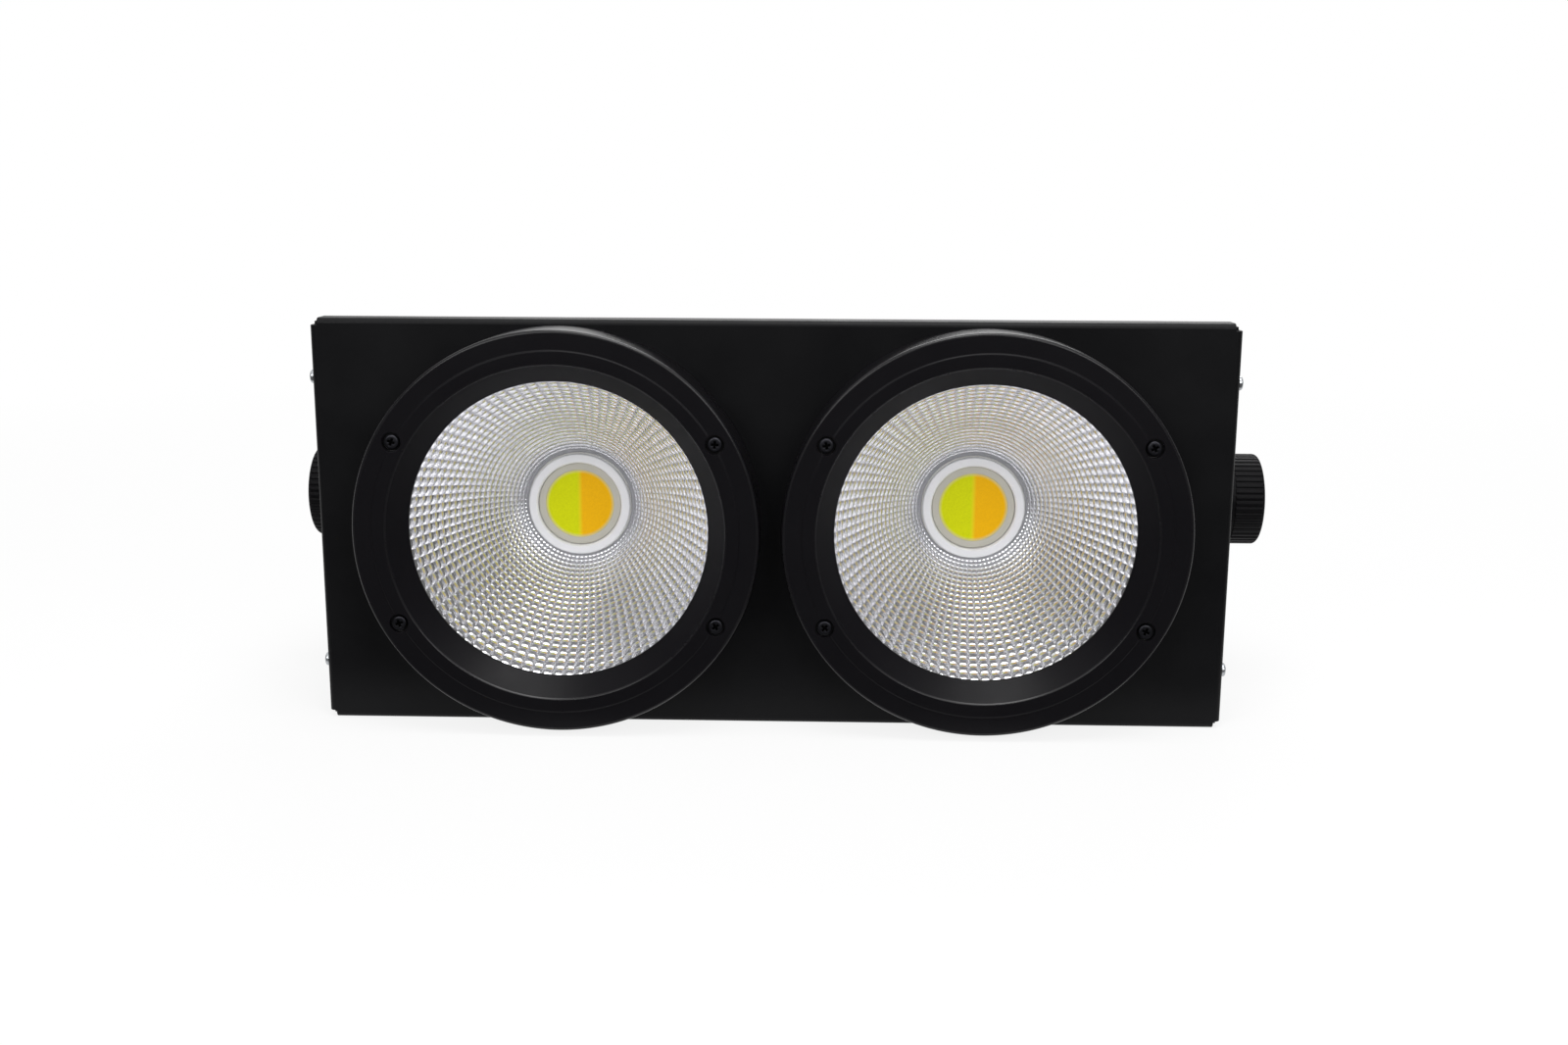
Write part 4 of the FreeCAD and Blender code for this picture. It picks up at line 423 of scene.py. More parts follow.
# Leads inside the box: stranded copper in soft extruded insulation, one colour to each job.
# Mains leads are brown, blue and green, lamp leads red and black, and control leads grey and white.
insulation = {}
for name, colour in (("brown", "#5A3826"), ("blue", "#2B4C8C"), ("green", "#4E8A3C"), ("red", "#A52A24"),
                     ("black", "#1E1E20"), ("grey", "#8A8C90")):
    insulation[name] = moulded(f"soft_vinyl_{name}_extruded", colour, 0.45, 1.2, 0.02)
for node, slot, colours in (("power_leads", "power_lead", ("brown", "blue", "green")),
                            ("lamp_leads", "lamp_lead", ("red", "black")),
                            ("control_leads", "control_lead", ("red", "black", "grey"))):
    bundle = dressed_copy(node, node + "_sleeved", 0)
    choose(bundle)
    bpy.ops.object.mode_set(mode="EDIT")
    bpy.ops.mesh.select_all(action="SELECT")
    bpy.ops.mesh.separate(type="LOOSE")
    bpy.ops.object.mode_set(mode="OBJECT")
    singles = sorted(bpy.context.selected_objects, key=lambda piece: tuple(piece.bound_box[0]))
    for index, single in enumerate(singles):
        single.name = f"{node}_sleeved_{index + 1}"
        single.data.materials.append(insulation[colours[index % len(colours)]])
        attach(single, "housing")
        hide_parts(node)

# Folded housing: front tray, rear shell, side plates and the bracket for the safety cable.
# All are laser-cut sheet steel, folded and powder coated satin black, and the coat rounds every edge.

# The coat has the faint orange peel of baked powder, drawn 1.6 mm wide so that it shows, and a matting
# agent in it keeps its gloss low.
powder_coat, tree, surface, place = new_finish("steel_powder_coated")
peel = add(tree, "ShaderNodeTexNoise", {"Vector": place, "Scale": 1 / (1.6 * MM), "Detail": 2.0})
patches = add(tree, "ShaderNodeTexNoise", {"Vector": place, "Scale": 1 / (45 * MM), "Detail": 4.0})
coat_colour = add(tree, "ShaderNodeValToRGB", {"Fac": patches.outputs["Fac"]},
                  stops=((0.3, "#060608"), (0.7, "#0B0B0D")))
coat_polish = add(tree, "ShaderNodeMapRange", {"Value": patches.outputs["Fac"], "From Min": 0.3,
                                               "From Max": 0.7, "To Min": 0.42, "To Max": 0.5})
coat_bump = add(tree, "ShaderNodeBump", {"Height": peel.outputs["Fac"], "Strength": 0.5,
                                         "Distance": 0.03 * MM})
tree.links.new(coat_colour.outputs["Color"], surface.inputs["Base Color"])
tree.links.new(coat_polish.outputs["Result"], surface.inputs["Roughness"])
tree.links.new(coat_bump.outputs["Normal"], surface.inputs["Normal"])
surface.inputs["Specular IOR Level"].default_value = 0.14

for node, edge, slot in (("front_tray", 0.3, "housing"), ("side_plate_left", 0.3, "housing"),
                         ("side_plate_right", 0.3, "housing"), ("rear_shell", 0.3, "housing"),
                         ("safety_bracket", 0.5, "bracket")):
    sheet = dressed_copy(node, node + "_coated", edge, powder_coat)
    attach(sheet, "housing")
    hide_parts(node)
shell_screws = dressed_copy("shell_screws", "shell_screws_black", 0.12, black_plate)
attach(shell_screws, "housing")
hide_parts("shell_screws")

# Reflectors: parabolic bowls of moulded polycarbonate, metallised with aluminium in vacuum and lacquered.
# The inside is moulded with 88 columns and 22 rows of pillow facets that shrink towards the neck.
# They are clamped by the bezel's mouth against the emitter board.

# The lacquer is a little milky, so the mirror isn't wholly metallic and its reflections are soft.
mirror, tree, surface, place = new_finish("polycarbonate_metallised")
haze = add(tree, "ShaderNodeTexNoise", {"Vector": place, "Scale": 1 / (14 * MM), "Detail": 3.0})
mirror_polish = add(tree, "ShaderNodeMapRange", {"Value": haze.outputs["Fac"], "From Min": 0.3,
                                                 "From Max": 0.7, "To Min": 0.1, "To Max": 0.15})
surface.inputs["Base Color"].default_value = linear("#DEDEE1")
surface.inputs["Metallic"].default_value = 0.9
tree.links.new(mirror_polish.outputs["Result"], surface.inputs["Roughness"])

# Each facet has 6 steps across and 5 along, rises by a share of its width and of its length, and has
# sharp seams. The fine steps along the bowl find the rows' borders, as facets keep their proportions.
COLUMNS, ROWS = 88, 22
ACROSS, ALONG = 6, 5
CROWN, CROWN_ACROSS = 0.075, (0, 0.7, 0.95, 1, 0.95, 0.7)
BULGE = 0.1
FINE_STEPS = 2000
mouth_radius, neck_radius = 75.2, 27.9
wall, flange = 1.4, 1.5
axis = middle_of("bezel_left")
low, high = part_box("reflector_left")
foot = Vector((axis.x, 0, axis.z))
mouth_y = low.y / MM
neck_y = high.y / MM
slope = (mouth_radius ** 2 - neck_radius ** 2) / (neck_y - mouth_y)
vertex_y = neck_y + neck_radius ** 2 / slope
fine = [mouth_radius + (neck_radius - mouth_radius) * step / FINE_STEPS for step in range(FINE_STEPS + 1)]
covered = [0.0]
for first, second in zip(fine, fine[1:]):
    covered.append(covered[-1] + (first - second) * math.hypot(1, 2 * first / slope) / first)
borders = [min(range(len(fine)), key=lambda at: abs(covered[at] - covered[-1] * row / ROWS))
           for row in range(ROWS + 1)]
bowl = []
row_length = []
for start, finish in zip(borders, borders[1:]):
    for split in range(ALONG):
        bowl.append(fine[start] + (fine[finish] - fine[start]) * split / ALONG)
        row_length.append((fine[start] - fine[finish]) * math.hypot(1, 2 * fine[start] / slope))
row_length.append(0)
bowl.append(neck_radius)
inner = [(radius, vertex_y - radius ** 2 / slope) for radius in bowl]
outer = []
for step in range(13):
    y = neck_y + (mouth_y + flange - neck_y) * step / 12
    outer.append((math.sqrt(slope * (vertex_y - y)) + wall, y))
rim = [(79.3, mouth_y + flange), (79.5, mouth_y + flange - 0.2), (79.5, mouth_y + 0.2), (79.3, mouth_y)]
reflector = turned("reflector_metallised", inner + outer + rim, foot, BACK, COLUMNS * ACROSS)
row_of = {round(y, 3): index for index, (radius, y) in enumerate(inner)}
column_marks = {}
row_marks = {}
for vertex in reflector.data.vertices:
    across = vertex.co.x - axis.x
    up = vertex.co.z - axis.z
    radius = math.hypot(across, up) / MM
    y = vertex.co.y / MM
    row = row_of.get(round(y, 3))
    if row is None or abs(radius - inner[row][0]) > 0.05:
        continue
    column = round(math.atan2(up, across) / math.tau * COLUMNS * ACROSS) % ACROSS
    column_marks[vertex.index] = column
    row_marks[vertex.index] = row % ALONG
    width = math.tau * radius / COLUMNS
    bulge = 4 * (row % ALONG) * (ALONG - row % ALONG) / ALONG ** 2
    rise = CROWN * width * CROWN_ACROSS[column] + BULGE * row_length[row] * bulge
    lean = slope / 2 / radius
    inward = rise / math.hypot(1, lean)
    vertex.co.x -= across / (radius * MM) * inward * MM
    vertex.co.z -= up / (radius * MM) * inward * MM
    vertex.co.y -= inward * lean * MM
for edge in reflector.data.edges:
    first, second = edge.vertices
    if first in row_marks and second in row_marks:
        edge.use_edge_sharp = (column_marks[first] == column_marks[second] == 0
                               or row_marks[first] == row_marks[second] == 0)
    else:
        edge.use_edge_sharp = first in row_marks or second in row_marks
choose(reflector)
bpy.ops.object.shade_smooth()
reflector.data.materials.append(mirror)
for side, piece in for_both(reflector, "reflector_metallised"):
    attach(piece, "housing")
    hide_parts("reflector_" + side)

# Bezels: deep round hoods moulded in black plastic, each held by four screws that go down into pockets.
# The front has a band that stands 0.6 mm proud, and inside it a cone runs down to the reflector's mouth.
# The mould was etched on the front and the cone, which stay dull, and left polished on the walls and edges.
bezel_plastic = moulded("black_plastic_moulded", "#0D0C0F", 0.38, 1.0, 0.015, 0.1)
wall_plastic = moulded("black_plastic_polished", "#0D0C0F", 0.28, 1.0, 0.01, 0.3)
HOOD_RADIUS, HOOD_WALL = 100.4, 2.5
BAND_RADIUS, BAND_HEIGHT = 90.15, 0.6
CONE_RADIUS, CONE_DEPTH = 83.3, 10.6
MOUTH_RADIUS, MOUTH_LIP = 74.5, 1.6
POCKET_RADIUS, POCKET_DEPTH = 4.7, 2.2
POCKET_CIRCLE, POCKET_ANGLE = 90.95, 30


def cut_away(piece, cutter):
    """Cuts a piece by another one, which is then gone."""
    cut = piece.modifiers.new("cut", "BOOLEAN")
    cut.object = cutter
    choose(piece)
    bpy.ops.object.modifier_apply(modifier=cut.name)
    bpy.data.objects.remove(cutter)


def polished(at):
    """Whether a place in millimetres is on the left hood's walls, outer edge or the cone's chamfer."""
    radius = math.hypot(at.x - axis.x / MM, at.z - axis.z / MM)
    on_edge = radius > HOOD_RADIUS - 1.5 or radius < CONE_RADIUS + 0.9
    return radius > CONE_RADIUS - 0.1 and (at.y > face + 1.5 or on_edge)


low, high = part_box("bezel_left")
axis = (low + high) / 2
foot = Vector((axis.x, 0, axis.z))
proud = low.y / MM
back = high.y / MM
face = proud + BAND_HEIGHT
hood = turned("bezel_moulded", eased([
    (HOOD_RADIUS, back), (HOOD_RADIUS, face, 1.6), (BAND_RADIUS + BAND_HEIGHT, face), (BAND_RADIUS, proud),
    (CONE_RADIUS + 0.7, proud), (CONE_RADIUS, proud + 0.7), (MOUTH_RADIUS, proud + CONE_DEPTH),
    (MOUTH_RADIUS, proud + CONE_DEPTH + MOUTH_LIP), (MOUTH_RADIUS + 4, proud + CONE_DEPTH + MOUTH_LIP),
    (85.4, face + HOOD_WALL), (HOOD_RADIUS - HOOD_WALL, face + HOOD_WALL), (HOOD_RADIUS - HOOD_WALL, back)]),
    foot, BACK, 256)
turn = math.radians(POCKET_ANGLE)
pockets = [(across * POCKET_CIRCLE * math.cos(turn), up * POCKET_CIRCLE * math.sin(turn))
           for across in (-1, 1) for up in (-1, 1)]
for across, up in pockets:
    bpy.ops.object.select_all(action="DESELECT")
    bpy.ops.mesh.primitive_cylinder_add(vertices=64, radius=POCKET_RADIUS * MM, depth=2 * POCKET_DEPTH * MM,
                                        location=foot + Vector((across, face, up)) * MM,
                                        rotation=(math.radians(90), 0, 0))
    cut_away(hood, bpy.context.object)
soften(hood, 0.3, corner=24)
hood.data.materials.append(bezel_plastic)
paint(hood, wall_plastic, polished)
for side, piece in for_both(hood, "bezel_moulded"):
    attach(piece, "housing")
    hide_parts("bezel_" + side)

# Pan-head screws with a cross recess: black in the bezels' pockets, zinc plated on the tray's side rims.
# One screw is turned and its cross sunk, and the rest are copies, each stopped at its own angle.
# The cross of each black one is painted near black and dull: painted shade for the shade deep in the recess.
# Painted shade: a near-black, dull material that darkens the black screws' cross recesses.
recess_painted_shade = moulded("recess_black_painted_shade", "#030303", 0.6, 0.5, 0.005, 0.05)


def pan_head_screw(name, plating, recess, head_radius, head_height, shank_radius, length):
    """One screw along +Z whose head's underside is at the origin."""
    one = turned(name, eased([
        (0, -length), (shank_radius, -length, shank_radius * 0.3), (shank_radius, 0), (head_radius, 0, 0.15),
        (head_radius, head_height, head_height * 0.5), (0, head_height)]),
        Vector((0, 0, 0)), Vector((0, 0, 1)), 64)
    wing_size = Vector((head_radius * 1.25, head_radius * 0.42, head_height * 1.7)) * MM
    for turn in (0, 90):
        bpy.ops.object.select_all(action="DESELECT")
        bpy.ops.mesh.primitive_cube_add(size=1, location=(0, 0, head_height * MM),
                                        rotation=(0, 0, math.radians(turn)), scale=wing_size)
        wing = bpy.context.object
        bpy.ops.object.mode_set(mode="EDIT")
        bpy.ops.mesh.select_all(action="DESELECT")
        bpy.ops.object.mode_set(mode="OBJECT")
        for face in wing.data.polygons:
            face.select = face.normal.z < -0.5
        bpy.ops.object.mode_set(mode="EDIT")
        bpy.ops.transform.resize(value=(0.6, 0.6, 1))
        bpy.ops.object.mode_set(mode="OBJECT")
        cut_away(one, wing)
    soften(one, 0.08, corner=30)
    one.data.materials.append(plating)
    # The cross recess takes the recess material; on the black screws this is painted shade.
    paint(one, recess, lambda at: 0.05 < at.z < head_height - 0.12
          and math.hypot(at.x, at.y) < head_radius * 0.68)
    return one


def laid_out(one, name, placements):
    """Copies one piece, each time with its own mesh, to every placement and joins the copies."""
    copies = []
    for placement in placements:
        copy = one.copy()
        copy.data = one.data.copy()
        bpy.context.scene.collection.objects.link(copy)
        copy.data.transform(placement)
        copies.append(copy)
    bpy.data.objects.remove(one)
    bpy.ops.object.select_all(action="DESELECT")
    for copy in copies:
        copy.select_set(True)
    bpy.context.view_layer.objects.active = copies[0]
    bpy.ops.object.join()
    copies[0].name = name
    return copies[0]


def driven(places):
    """Placements of screws at places and directions, each stopped at its own angle."""
    placements = []
    for index, (at, outward) in enumerate(places):
        aim = outward.to_track_quat("Z", "Y").to_matrix().to_4x4()
        stop = Matrix.Rotation(math.radians(17 + 53 * index), 4, "Z")
        placements.append(Matrix.Translation(at) @ aim @ stop)
    return placements


bezel_places = []
for side in LAMPS:
    low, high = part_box("bezel_" + side)
    for across, up in pockets:
        at = Vector(((low.x + high.x) / 2 + across * MM, low.y + (BAND_HEIGHT + POCKET_DEPTH) * MM,
                     (low.z + high.z) / 2 + up * MM))
        bezel_places.append((at, -BACK))
bezel_screw = pan_head_screw("pan_head", black_plate, recess_painted_shade,
                             head_radius=3.8, head_height=2.4, shank_radius=1.95, length=30.5)
bezel_screws = laid_out(bezel_screw, "bezel_screws_black", driven(bezel_places))
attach(bezel_screws, "housing")
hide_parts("bezel_screws")

RIM_SCREW_INSET, RIM_SCREW_HEIGHT = 6, 73.6
tray_low, tray_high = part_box("front_tray")
tray_places = []
for sign in (-1, 1):
    for up in (-1, 1):
        at = Vector((sign * tray_high.x, tray_low.y + RIM_SCREW_INSET * MM,
                     (tray_low.z + tray_high.z) / 2 + up * RIM_SCREW_HEIGHT * MM))
        tray_places.append((at, Vector((sign, 0, 0))))
tray_screw = pan_head_screw("pan_head", zinc_plate, zinc_plate,
                            head_radius=3.5, head_height=2.0, shank_radius=1.5, length=7.0)
tray_screws = laid_out(tray_screw, "tray_screws_plated", driven(tray_places))
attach(tray_screws, "housing")
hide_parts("tray_screws")

# Chassis sockets on the rear panel: blue power inlet, grey power outlet and two black signal sockets.
# Bodies are moulded polyamide, contacts are plated copper alloy, and each flange has two black screws.
blue_nylon = moulded("blue_polyamide_moulded", "#22509A", 0.42, 0.8, 0.02)
grey_nylon = moulded("grey_polyamide_moulded", "#9DA0A3", 0.42, 0.8, 0.02)
black_nylon = moulded("black_polyamide_moulded", "#1B1B1D", 0.45, 0.8, 0.02)
contact = metal("copper_alloy_silver_plated", "#C8C3B4", 0.22, 0.5, 0.005)
CORE_RADIUS, CORE_FACE, CORE_FLOOR = 4.4, 2.2, 12.5
PIN_CIRCLE, PIN_REACH = 5, 1.3
for node, material, slot in (("power_inlet", blue_nylon, "power_socket_blue"),
                             ("power_outlet", grey_nylon, "power_socket_grey"),
                             ("signal_inlet", black_nylon, "signal_socket"),
                             ("signal_outlet", black_nylon, "signal_socket")):
    low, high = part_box(node)
    centre = (low + high) / 2 / MM
    deep = high.y / MM
    socket = dressed_copy(node, node + "_moulded", 0.3, material)
    if node.startswith("power"):
        paint(socket, contact, lambda at: math.hypot(at.x - centre.x, at.z - centre.z) < CORE_RADIUS
              and deep - CORE_FLOOR < at.y < deep - CORE_FACE)
    else:
        for angle in (45, 135, 270):
            turn = math.radians(angle)
            pin = Vector((centre.x + PIN_CIRCLE * math.cos(turn), centre.z + PIN_CIRCLE * math.sin(turn)))
            paint(socket, contact, lambda at: math.hypot(at.x - pin.x, at.z - pin.y) < PIN_REACH, whole=True)
    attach(socket, "housing")
    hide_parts(node)
socket_screws = dressed_copy("socket_screws", "socket_screws_black", 0.12, black_plate)
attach(socket_screws, "housing")
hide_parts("socket_screws")
latch = dressed_copy("signal_latch", "signal_latch_cast", 0.25, nickel)
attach(latch, "signal_latch")
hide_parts("signal_latch")

# Fuse holder, set in the rear panel with its flange outside, and its quarter-turn cap.
# Both are moulded in black phenolic, which is glossier than nylon.
phenolic = moulded("black_phenolic_moulded", "#161617", 0.28, 1.0, 0.01)
for node, body in (("fuse_holder", "housing"), ("fuse_cap", "fuse_cap")):
    fuse = dressed_copy(node, node + "_moulded", 0.2, phenolic)
    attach(fuse, body)
    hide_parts(node)

# Display: four unlit digits on a black module behind a smoked acrylic window in the panel's cut-out.
# Each digit has seven printed segments; one segment is made, and the rest are copies of it.
display_black = moulded("display_epoxy_cast", "#101011", 0.3, 1.0, 0.01)
segment_print = moulded("segment_resin_cast", "#C8C4BE", 0.4, 0.8, 0.01)
smoked, tree, surface, place = new_finish("acrylic_smoked_cut")
dust = add(tree, "ShaderNodeTexNoise", {"Vector": place, "Scale": 1 / (3 * MM), "Detail": 3.0})
dust_polish = add(tree, "ShaderNodeMapRange", {"Value": dust.outputs["Fac"],
                                               "To Min": 0.02, "To Max": 0.09})
tree.links.new(dust_polish.outputs["Result"], surface.inputs["Roughness"])
surface.inputs["Base Color"].default_value = linear("#B9B4B6")
surface.inputs["Transmission Weight"].default_value = 1.0
surface.inputs["IOR"].default_value = 1.49
window = dressed_copy("display_window", "display_window_clear", 0.15, smoked)
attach(window, "housing")
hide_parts("display_window")
module = dressed_copy("display_module", "display_module_cast", 0.2, display_black)
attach(module, "housing")
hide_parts("display_module")


def thicken(height):
    """Extrudes the active flat piece to the back by some millimetres."""
    bpy.ops.object.mode_set(mode="EDIT")
    bpy.ops.mesh.select_all(action="SELECT")
    bpy.ops.mesh.extrude_region_move(TRANSFORM_OT_translate={"value": (0, height * MM, 0)})
    bpy.ops.mesh.select_all(action="SELECT")
    bpy.ops.mesh.normals_make_consistent(inside=False)
    bpy.ops.object.mode_set(mode="OBJECT")


low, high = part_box("display_module")
DIGIT_PITCH, ROW_PITCH, SIDE_OFFSET = 10.5, 4.6, 2.3
SEGMENT_LENGTH, SEGMENT_HALF, SEGMENT_HEIGHT = 4.3, 0.55, 0.08
bpy.ops.object.select_all(action="DESELECT")
bpy.ops.mesh.primitive_circle_add(vertices=6, radius=SEGMENT_HALF * MM, fill_type="NGON",
                                  rotation=(math.radians(90), 0, 0))
bar = bpy.context.object
bpy.ops.object.transform_apply(location=False, rotation=True, scale=True)
thicken(SEGMENT_HEIGHT)
for vertex in bar.data.vertices:
    if abs(vertex.co.x) > 0.1 * MM:
        vertex.co.x += math.copysign(SEGMENT_LENGTH / 2 - SEGMENT_HALF, vertex.co.x) * MM
placements = []
for digit in range(4):
    digit_x = (low.x + high.x) / 2 / MM + (digit - 1.5) * DIGIT_PITCH
    digit_z = (low.z + high.z) / 2 / MM
    places = [(0, up, 0) for up in (ROW_PITCH, 0, -ROW_PITCH)]
    places += [(across, up, 90) for up in (ROW_PITCH / 2, -ROW_PITCH / 2)
               for across in (-SIDE_OFFSET, SIDE_OFFSET)]
    for across, up, turn in places:
        at = Vector(((digit_x - across) * MM, high.y + 0.02 * MM, (digit_z + up) * MM))
        placements.append(Matrix.Translation(at) @ Matrix.Rotation(math.radians(turn), 4, "Y"))
digits = laid_out(bar, "display_segments", placements)
digits.data.materials.append(segment_print)
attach(digits, "housing")

# Menu buttons: four round caps moulded in black plastic, pushed by a fingertip.
# Each has a raised plain sign moulded on in grey: a square, two triangles and a disc.
button_plastic = moulded("button_plastic_moulded", "#26262A", 0.38, 0.7, 0.02)
SIGN_RADIUS, SIGN_BORDER = 1.7, 0.5
SIGN_HEIGHT, SIGN_SUNK = 0.25, 0.05
for node, corners, turn in (("menu_button", 4, 45), ("down_button", 3, 180), ("up_button", 3, 0),
                            ("enter_button", 24, 0)):
    cap = dressed_copy(node, node + "_moulded", 0.2, button_plastic)
    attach(cap, node)
    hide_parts(node)
    low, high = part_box(node)
    seat = Vector(((low.x + high.x) / 2, high.y - SIGN_SUNK * MM, (low.z + high.z) / 2))
    bpy.ops.object.select_all(action="DESELECT")
    bpy.ops.mesh.primitive_circle_add(vertices=corners, radius=SIGN_RADIUS * MM, fill_type="NGON")
    sign = bpy.context.object
    sign.name = node + "_sign"
    bpy.ops.object.mode_set(mode="EDIT")
    bpy.ops.mesh.select_all(action="SELECT")
    bpy.ops.mesh.inset(thickness=SIGN_BORDER * MM, use_boundary=True)
    bpy.ops.object.mode_set(mode="OBJECT")
    sign.data.transform(Matrix.Translation(seat) @ Matrix.Rotation(math.radians(90), 4, "X")
                        @ Matrix.Rotation(math.radians(turn), 4, "Z"))
    thicken(SIGN_HEIGHT)
    sign.data.materials.append(grey_nylon)
    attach(sign, node)

# Yoke: flat steel bar bent to a U and powder coated, hung on the two knobs' studs.
# Between it and the side plates sit moulded friction discs, and outside it zinc-plated washers.
for node, made, edge, material, body, slot in (
        ("yoke", "_coated", 0.5, powder_coat, "yoke", "yoke"),
        ("friction_discs", "_moulded", 0.3, black_nylon, "housing", "friction_disc"),
        ("knob_washers", "_plated", 0.15, zinc_plate, "yoke", "steel")):
    piece = dressed_copy(node, node + made, edge, material)
    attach(piece, body)
    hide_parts(node)

# Knobs: drums of glass-filled polyamide moulded round a plated steel stud, with 46 flutes for grip.
# The flutes start behind a plain collar and run out in the rounded outer edge; the end is recessed.
knob_nylon = moulded("knob_polyamide_moulded", "#09080B", 0.48, 0.9, 0.03, 0.1)
FLUTES, FLUTE_POINTS = 46, 12
DRUM_RADIUS, COLLAR_RADIUS, COLLAR_LENGTH = 24.8, 24.0, 3.0
STUD_RADIUS, STUD_DEPTH = 4.05, 13
for side, sign in (("left", -1), ("right", 1)):
    low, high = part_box("knob_" + side)
    centre = (low + high) / 2
    root = high.x / MM if sign < 0 else low.x / MM
    foot = Vector((root * MM, centre.y, centre.z))
    length = (high.x - low.x) / MM
    drum = turned("knob_moulded_" + side, eased([
        (STUD_RADIUS, 0), (COLLAR_RADIUS, 0, 0.5), (COLLAR_RADIUS, COLLAR_LENGTH),
        (DRUM_RADIUS, COLLAR_LENGTH), (DRUM_RADIUS, COLLAR_LENGTH + 0.3), (DRUM_RADIUS, length, 2.2),
        (15, length, 0.4), (14, length - 1, 0.4), (0, length - 1), (0, STUD_DEPTH),
        (STUD_RADIUS, STUD_DEPTH)], steps=6),
        foot, Vector((sign, 0, 0)), FLUTES * FLUTE_POINTS)
    for vertex in drum.data.vertices:
        distance = abs(vertex.co.x - foot.x) / MM
        across = vertex.co.y - foot.y
        up = vertex.co.z - foot.z
        radius = math.hypot(across, up) / MM
        if distance < COLLAR_LENGTH - 0.01 or radius < 22.0 or distance > length - 0.2:
            continue
        turn = math.atan2(up, across) / math.tau * FLUTES % 1
        step = min(turn, 1 - turn) * math.tau * DRUM_RADIUS / FLUTES
        if step < 0.8:
            limit = DRUM_RADIUS + 0.3 - math.sqrt(1 - step ** 2)
        else:
            limit = DRUM_RADIUS - 0.28 * max(0, 1.25 - step)
        limit = max(limit, COLLAR_RADIUS + 0.05)
        if radius > limit:
            pull = limit / radius
            vertex.co.y = foot.y + across * pull
            vertex.co.z = foot.z + up * pull
    soften(drum, 0, corner=36)
    drum.data.materials.append(knob_nylon)
    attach(drum, "knob_" + side)
    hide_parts("knob_" + side)
    stud = dressed_copy("knob_stud_" + side, "knob_stud_plated_" + side, 0.3, zinc_plate)
    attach(stud, "knob_" + side)
    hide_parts("knob_stud_" + side)

# Studio: a white floor that runs out into a white room, soft lamps above and to the sides, and grey
# cards before and beside the light that only show in reflections, as used to keep black goods black.
def seen_directly(tree):
    """Is 1 for rays from the camera, off glossy faces or through the window, and 0 for scattered light."""
    ray = add(tree, "ShaderNodeLightPath")
    seen = add(tree, "ShaderNodeMath", {0: ray.outputs["Is Camera Ray"], 1: ray.outputs["Is Glossy Ray"]},
               operation="MAXIMUM")
    return add(tree, "ShaderNodeMath", {0: seen.outputs["Value"], 1: ray.outputs["Is Transmission Ray"]},
               operation="MAXIMUM")


paper, tree, surface, place = new_finish("floor_paper_matt")
surface.inputs["Base Color"].default_value = linear("#F2F2F2")
surface.inputs["Roughness"].default_value = 0.9
reach = add(tree, "ShaderNodeVectorMath", {"Vector": place}, operation="LENGTH")
fade = add(tree, "ShaderNodeMapRange", {"Value": reach.outputs["Value"], "From Min": 0.3, "From Max": 1.6,
                                        "To Min": 0.85, "To Max": 1.0})
share = add(tree, "ShaderNodeMath", {0: seen_directly(tree).outputs["Value"], 1: fade.outputs["Result"]},
            operation="MULTIPLY")
glow = add(tree, "ShaderNodeEmission", {"Color": (1, 1, 1, 1), "Strength": 1.0})
blend = add(tree, "ShaderNodeMixShader", {"Fac": share.outputs["Value"], 1: surface.outputs["BSDF"],
                                          2: glow.outputs["Emission"]})
tree.links.new(blend.outputs["Shader"], tree.nodes["Material Output"].inputs["Surface"])
bpy.ops.object.select_all(action="DESELECT")
bpy.ops.mesh.primitive_circle_add(vertices=96, radius=8.0, fill_type="NGON", location=(0, 0, 0))
floor = bpy.context.object
floor.name = "floor_paper"
floor.data.materials.append(paper)

world = bpy.data.worlds.new("white_room")
world.use_nodes = True
bpy.context.scene.world = world
tree = world.node_tree
level = add(tree, "ShaderNodeMapRange", {"Value": seen_directly(tree).outputs["Value"],
                                         "To Min": 0.3, "To Max": 1.0})
background = tree.nodes["Background"]
background.inputs["Color"].default_value = (1, 1, 1, 1)
tree.links.new(level.outputs["Result"], background.inputs["Strength"])

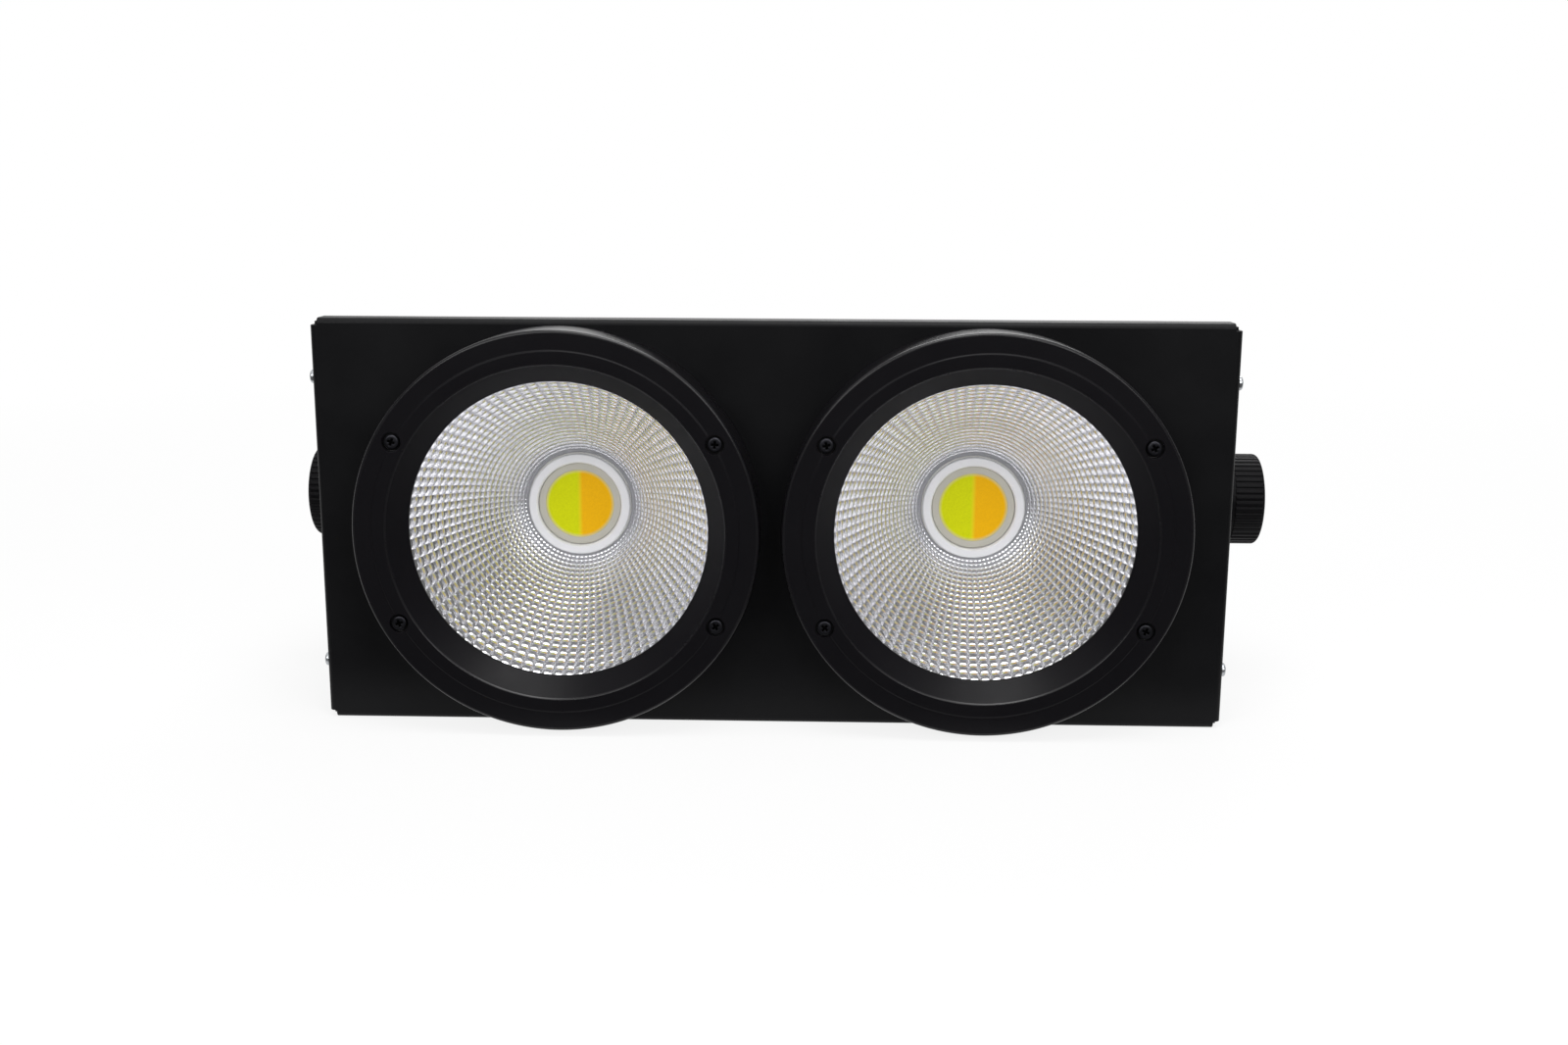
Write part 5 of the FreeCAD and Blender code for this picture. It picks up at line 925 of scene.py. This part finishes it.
for name, colour, at, turn, size in (("front", "#747474", (0.0, -2.4, 0.9), (90, 0, 0), (4.4, 2.6)),
                                     ("floor", "#6C6C6C", (0.0, -1.23, 0.002), (0, 0, 0), (4.4, 2.36)),
                                     ("left", "#6E6E6E", (-2.3, -0.9, 0.9), (90, 0, 90), (3.0, 2.6)),
                                     ("right", "#6E6E6E", (2.3, -0.9, 0.9), (90, 0, 90), (3.0, 2.6))):
    card_grey, tree, surface, place = new_finish("card_grey_" + name)
    level = add(tree, "ShaderNodeEmission", {"Color": linear(colour), "Strength": 1.0})
    tree.links.new(level.outputs["Emission"], tree.nodes["Material Output"].inputs["Surface"])
    bpy.ops.object.select_all(action="DESELECT")
    bpy.ops.mesh.primitive_plane_add(size=1, location=at,
                                     rotation=tuple(math.radians(angle) for angle in turn))
    card = bpy.context.object
    card.name = "grey_card_" + name
    card.scale = (size[0], size[1], 1)
    bpy.ops.object.transform_apply(location=True, rotation=True, scale=True)
    card.visible_camera = False
    card.visible_diffuse = False
    card.visible_shadow = False
    card.visible_transmission = False
    card.data.materials.append(card_grey)

for name, at, aim, power, size in (("top", (0.1, -0.4, 1.5), (0, 0, 0.1), 14, (0.9, 0.8)),
                                   ("left", (-0.75, -1.35, 0.85), (0, 0, 0.1), 8, (0.8, 0.6)),
                                   ("right", (0.75, -1.35, 0.85), (0, 0, 0.1), 8, (0.8, 0.6)),
                                   ("rear", (0.2, 1.5, 1.3), (0, 0, 0.1), 14, (1.4, 0.8))):
    lamp = bpy.data.lights.new("softbox_" + name, "AREA")
    lamp.shape = "RECTANGLE"
    lamp.size, lamp.size_y = size
    lamp.energy = power
    stand = bpy.data.objects.new("softbox_" + name, lamp)
    stand.location = at
    stand.rotation_euler = (Vector(aim) - Vector(at)).to_track_quat("-Z", "Y").to_euler()
    bpy.context.scene.collection.objects.link(stand)

# Camera at the photographed angle: its place, its turn and its 37.4 mm lens, on a 36 mm wide frame,
# were fitted to the photograph.
camera_place = (0.028574, -0.809312, 0.271188)
roll, pitch, yaw = 0.00437, 0.2033, -0.0282
camera = bpy.data.cameras.new("camera")
camera.lens = 37.38
camera.sensor_width = 36.0
camera.clip_start = 0.01
camera.clip_end = 100.0
viewer = bpy.data.objects.new("camera", camera)
bpy.context.scene.collection.objects.link(viewer)
turned_view = Matrix.Rotation(roll, 3, "Y") @ Matrix.Rotation(pitch, 3, "X") @ Matrix.Rotation(yaw, 3, "Z")
right, forward, up = turned_view.row
facing = Matrix((right, up, -forward)).transposed().to_4x4()
viewer.matrix_world = Matrix.Translation(camera_place) @ facing
bpy.context.scene.camera = viewer
bpy.context.scene.view_settings.view_transform = "Standard"
